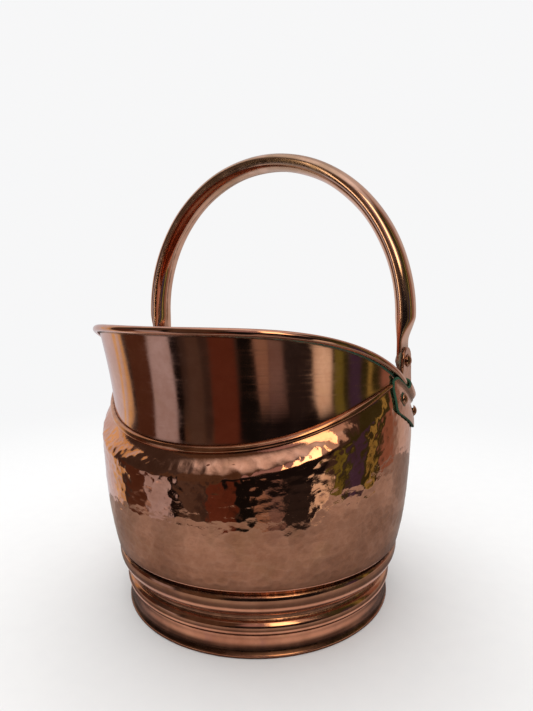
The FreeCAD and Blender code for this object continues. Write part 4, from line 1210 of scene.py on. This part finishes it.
def floor_material():
    material = bpy.data.materials.new("pale floor")
    material.use_nodes = True
    s = Shader(material.node_tree)
    mix, ramp, noise = s.mix, s.ramp, s.noise
    place = s.coordinates("Object")
    grain = noise(place, scale=60.0, detail=3.0, rough=0.5)
    pale = mix(grain, (0.80, 0.80, 0.80), (0.83, 0.83, 0.825))
    bump = s.add("ShaderNodeBump", {"Strength": 0.1, "Distance": 0.0002, "Height": grain})
    glossy, camera_ray = s.ray("Glossy", "Camera")
    # In the metal the floor shows as a darker, uneven table top that ends a short way out
    patches = noise(place, scale=3.6, detail=2.0, rough=0.5, warp=0.6)
    clouds = noise(place, scale=16.0, detail=4.0, rough=0.6)
    spots = noise(place, scale=42.0, detail=5.0, rough=0.7, warp=1.2)
    table = ramp(patches, 0.38, 0.62) * 0.6 + clouds * 0.5
    table = (table * 0.80 + ramp(spots, 0.36, 0.64) * 0.22).clamp()
    reflected_floor_colour = mix(table, (0.135, 0.120, 0.113), (0.37, 0.335, 0.31))
    # Rings close round the foot, seen only in the metal: painted shadow, a painted pale band of
    # light, then painted shadow again
    near = s.length(place)
    reflected_floor_colour = mix(ramp(near, 0.155, 0.205), (0.150, 0.130, 0.122), reflected_floor_colour)
    reflected_floor_colour = mix(ramp(near, 0.143, 0.152), (0.80, 0.70, 0.66), reflected_floor_colour)
    reflected_floor_colour = mix(ramp(near, 0.127, 0.136), (0.14, 0.11, 0.10), reflected_floor_colour)
    surface = s.add("ShaderNodeBsdfDiffuse",
                    {"Color": mix(glossy, pale, reflected_floor_colour), "Normal": bump})
    # The table's edge shifts with the azimuth from the camera
    distance = s.length(place)
    wobble = noise(place, scale=5.0, detail=2.0, rough=0.5) * 0.12
    _, _, azimuth = from_camera(s, place)
    shift = ramp(azimuth, 22.0, 48.0, 0.035, -0.045) + ramp(azimuth, 68.0, 105.0, 0.0, -0.16)
    shift = shift + ramp(azimuth, 120.0, 165.0, 0.0, 0.24)
    beyond = ramp(distance + wobble + shift, 0.408, 0.420) * glossy
    # Far out, the sheet runs into the pale backdrop without a horizon
    far = ramp(distance, 0.28, 1.0) * camera_ray
    glow = s.add("ShaderNodeEmission", {"Color": BACKDROP, "Strength": 1.0})
    sheet = s.add("ShaderNodeMixShader", {0: far, 1: surface, 2: glow})
    clear = s.add("ShaderNodeBsdfTransparent")
    s.output("ShaderNodeOutputMaterial",
             s.add("ShaderNodeMixShader", {0: beyond, 1: sheet, 2: clear}))
    return material


def build_floor():
    n = 40
    line = np.linspace(-4000.0, 4000.0, n + 1)
    row = n + 1
    faces = [(j * row + i, j * row + i + 1, (j + 1) * row + i + 1, (j + 1) * row + i)
             for j in range(n) for i in range(n)]
    floor = new_object("pale_floor", [(x, y, 0.0) for y in line for x in line], faces)
    floor.data.materials.append(floor_material())


# What the metal reflects, later rows over earlier ones. Degrees from the camera's azimuth and
# of elevation: azimuth from, to, elevation from, to, softness in azimuth, colour
ROOM_ZONES = [
    (-75, -20, -24, 60, 3, (0.090, 0.058, 0.038)),
    (-27, 48, -30, 8, 5, (0.010, 0.009, 0.010)),
    (-200, -116, -60, 75, 6, (0.66, 0.64, 0.68)),
    (-127, -123, -60, 60, 1.0, (0.80, 0.58, 0.26)),
    (-118, -114, -60, 60, 1.0, (0.70, 0.50, 0.22)),
    (-108, -86, -27, 10, 2, (0.085, 0.040, 0.025)),
    (-108, -86, -60, -28, 3, (0.60, 0.46, 0.40)),
    (-86, -66, -60, 2, 2, (0.42, 0.42, 0.48)),
    (-78, -66, -60, -31, 1.5, (0.66, 0.56, 0.55)),
    (-65, -59, -60, 30, 1.5, (0.010, 0.008, 0.008)),
    (-55, -44, -60, -12, 2, (0.085, 0.062, 0.050)),
    (-42, -38, -60, -12, 1.5, (0.05, 0.035, 0.03)),
    (-36, -18, -60, -20, 2, (0.105, 0.036, 0.022)),
    (-15, -2, -60, -20, 1.0, (0.008, 0.008, 0.008)),
    (-2, 8, -60, -28, 1.2, (0.30, 0.21, 0.16)),
    (8, 18, -60, -27, 1.5, (0.19, 0.14, 0.13)),
    (8, 30, 18, 60, 2.5, (3.2, 2.6, 1.7)),
    (-16, 8, 20, 50, 4, (0.38, 0.28, 0.30)),
    (30, 45, 22, 60, 3, (0.55, 0.45, 0.40)),
    (19, 42, -60, -24, 3, (0.026, 0.022, 0.022)),
    (40, 54, -60, -22, 1.2, (0.78, 0.72, 0.58)),
    (55, 97, -60, 55, 4, (0.040, 0.042, 0.015)),
    (56, 63, -60, -10, 1.5, (0.15, 0.16, 0.035)),
    (67, 77, -60, 10, 2, (0.055, 0.040, 0.085)),
    (84, 89, -40, 45, 1.5, (0.30, 0.27, 0.08)),
    (98, 114, -60, 60, 4, (0.26, 0.14, 0.10)),
    (116, 200, -60, 60, 7, (0.52, 0.45, 0.42)),
]


def build_world():
    """Pale to the camera; a soft dark room with a window and pale walls to polished metal."""
    world = bpy.data.worlds.new("room")
    scene.world = world
    world.use_nodes = True
    s = Shader(world.node_tree)
    direction, z, azimuth = from_camera(s, s.coordinates("Generated"))
    elevation = s.math("ARCSINE", z) * DEGREES
    slow = s.noise(direction, scale=3.0, detail=3.0, rough=0.5)
    quick = s.noise(direction, scale=11.0, detail=2.0, rough=0.5)
    azimuth = azimuth + ((slow - 0.5) * 9.0 + (quick - 0.5) * 5.0)

    def band(value, low, high, soft):
        return (s.ramp(value, low - soft, low + soft)
                * s.ramp(value, high - soft, high + soft, 1.0, 0.0))

    room = s.mix(s.noise(direction, scale=2.2, detail=3.0, rough=0.55),
                 (0.030, 0.024, 0.022), (0.085, 0.062, 0.052))
    for left, right, low, high, soft, colour in ROOM_ZONES:
        zone = band(azimuth, left, right, soft) * band(elevation, low, high, 3.0)
        room = s.mix(zone, room, colour)
    room = s.mix(s.ramp(elevation, 48.0, 74.0), room, (0.88, 0.85, 0.86))     # ceiling
    glossy, = s.ray("Glossy")
    s.output("ShaderNodeOutputWorld", s.add(
        "ShaderNodeBackground", {"Color": s.mix(glossy, BACKDROP, room), "Strength": 1.0}))


def area_light(name, at, size, power, colour=(1, 1, 1), target=(0, 0, 0.1), glossy=False):
    data = bpy.data.lights.new(name, "AREA")
    data.shape = "RECTANGLE"
    data.size, data.size_y = size
    data.energy = power
    data.color = colour
    o = bpy.data.objects.new(name, data)
    scene.collection.objects.link(o)
    o.location = at
    o.rotation_mode = "QUATERNION"
    o.rotation_quaternion = (Vector(target) - Vector(at)).to_track_quat("-Z", "Y")
    o.visible_glossy = glossy
    return o


def build_lights():
    area_light("soft_top", at=(-0.5, 0.2, 2.0), size=(1.8, 1.8), power=14.0)
    area_light("window_side", at=(0.9, -1.3, 1.3), size=(0.9, 1.2), power=7.0,
               colour=(1.0, 0.97, 0.92))
    # A narrow strip that only puts a warm line along the handle
    strip = area_light("handle_strip", at=(-0.60, -1.86, 1.0), size=(0.20, 1.8), power=2.4,
                       colour=(1.0, 0.84, 0.60), target=(0.0, 0.0, 0.3), glossy=True)
    only = bpy.data.collections.new("handle_only")
    only.objects.link(pieces["handle"])
    strip.light_linking.receiver_collection = only


def build_camera():
    data = bpy.data.cameras.new("camera")
    camera = bpy.data.objects.new("camera", data)
    scene.collection.objects.link(camera)
    scene.camera = camera
    data.lens, data.sensor_width = 27.04, 36.0
    data.clip_start, data.clip_end = 0.02, 50.0
    pitch, roll, yaw = map(math.radians, (6.25, 0.35, 1.0))
    # Axes for a camera at azimuth 0, then rolled and turned to its azimuth
    forward = Vector((math.sin(yaw) * math.cos(pitch), math.cos(yaw) * math.cos(pitch),
                      -math.sin(pitch)))
    level = Vector((math.cos(yaw), -math.sin(yaw), 0.0))
    down = forward.cross(level)
    turn = Matrix.Rotation(CAMERA_AZIMUTH, 3, "Z")
    right = turn @ (math.cos(roll) * level + math.sin(roll) * down)
    down = turn @ (-math.sin(roll) * level + math.cos(roll) * down)
    forward = turn @ forward
    rows = [(right[i], -down[i], -forward[i], CAMERA_AT[i]) for i in range(3)]
    camera.matrix_world = Matrix((*rows, (0, 0, 0, 1)))


build_floor()
build_world()
build_lights()
build_camera()

bpy.context.view_layer.update()
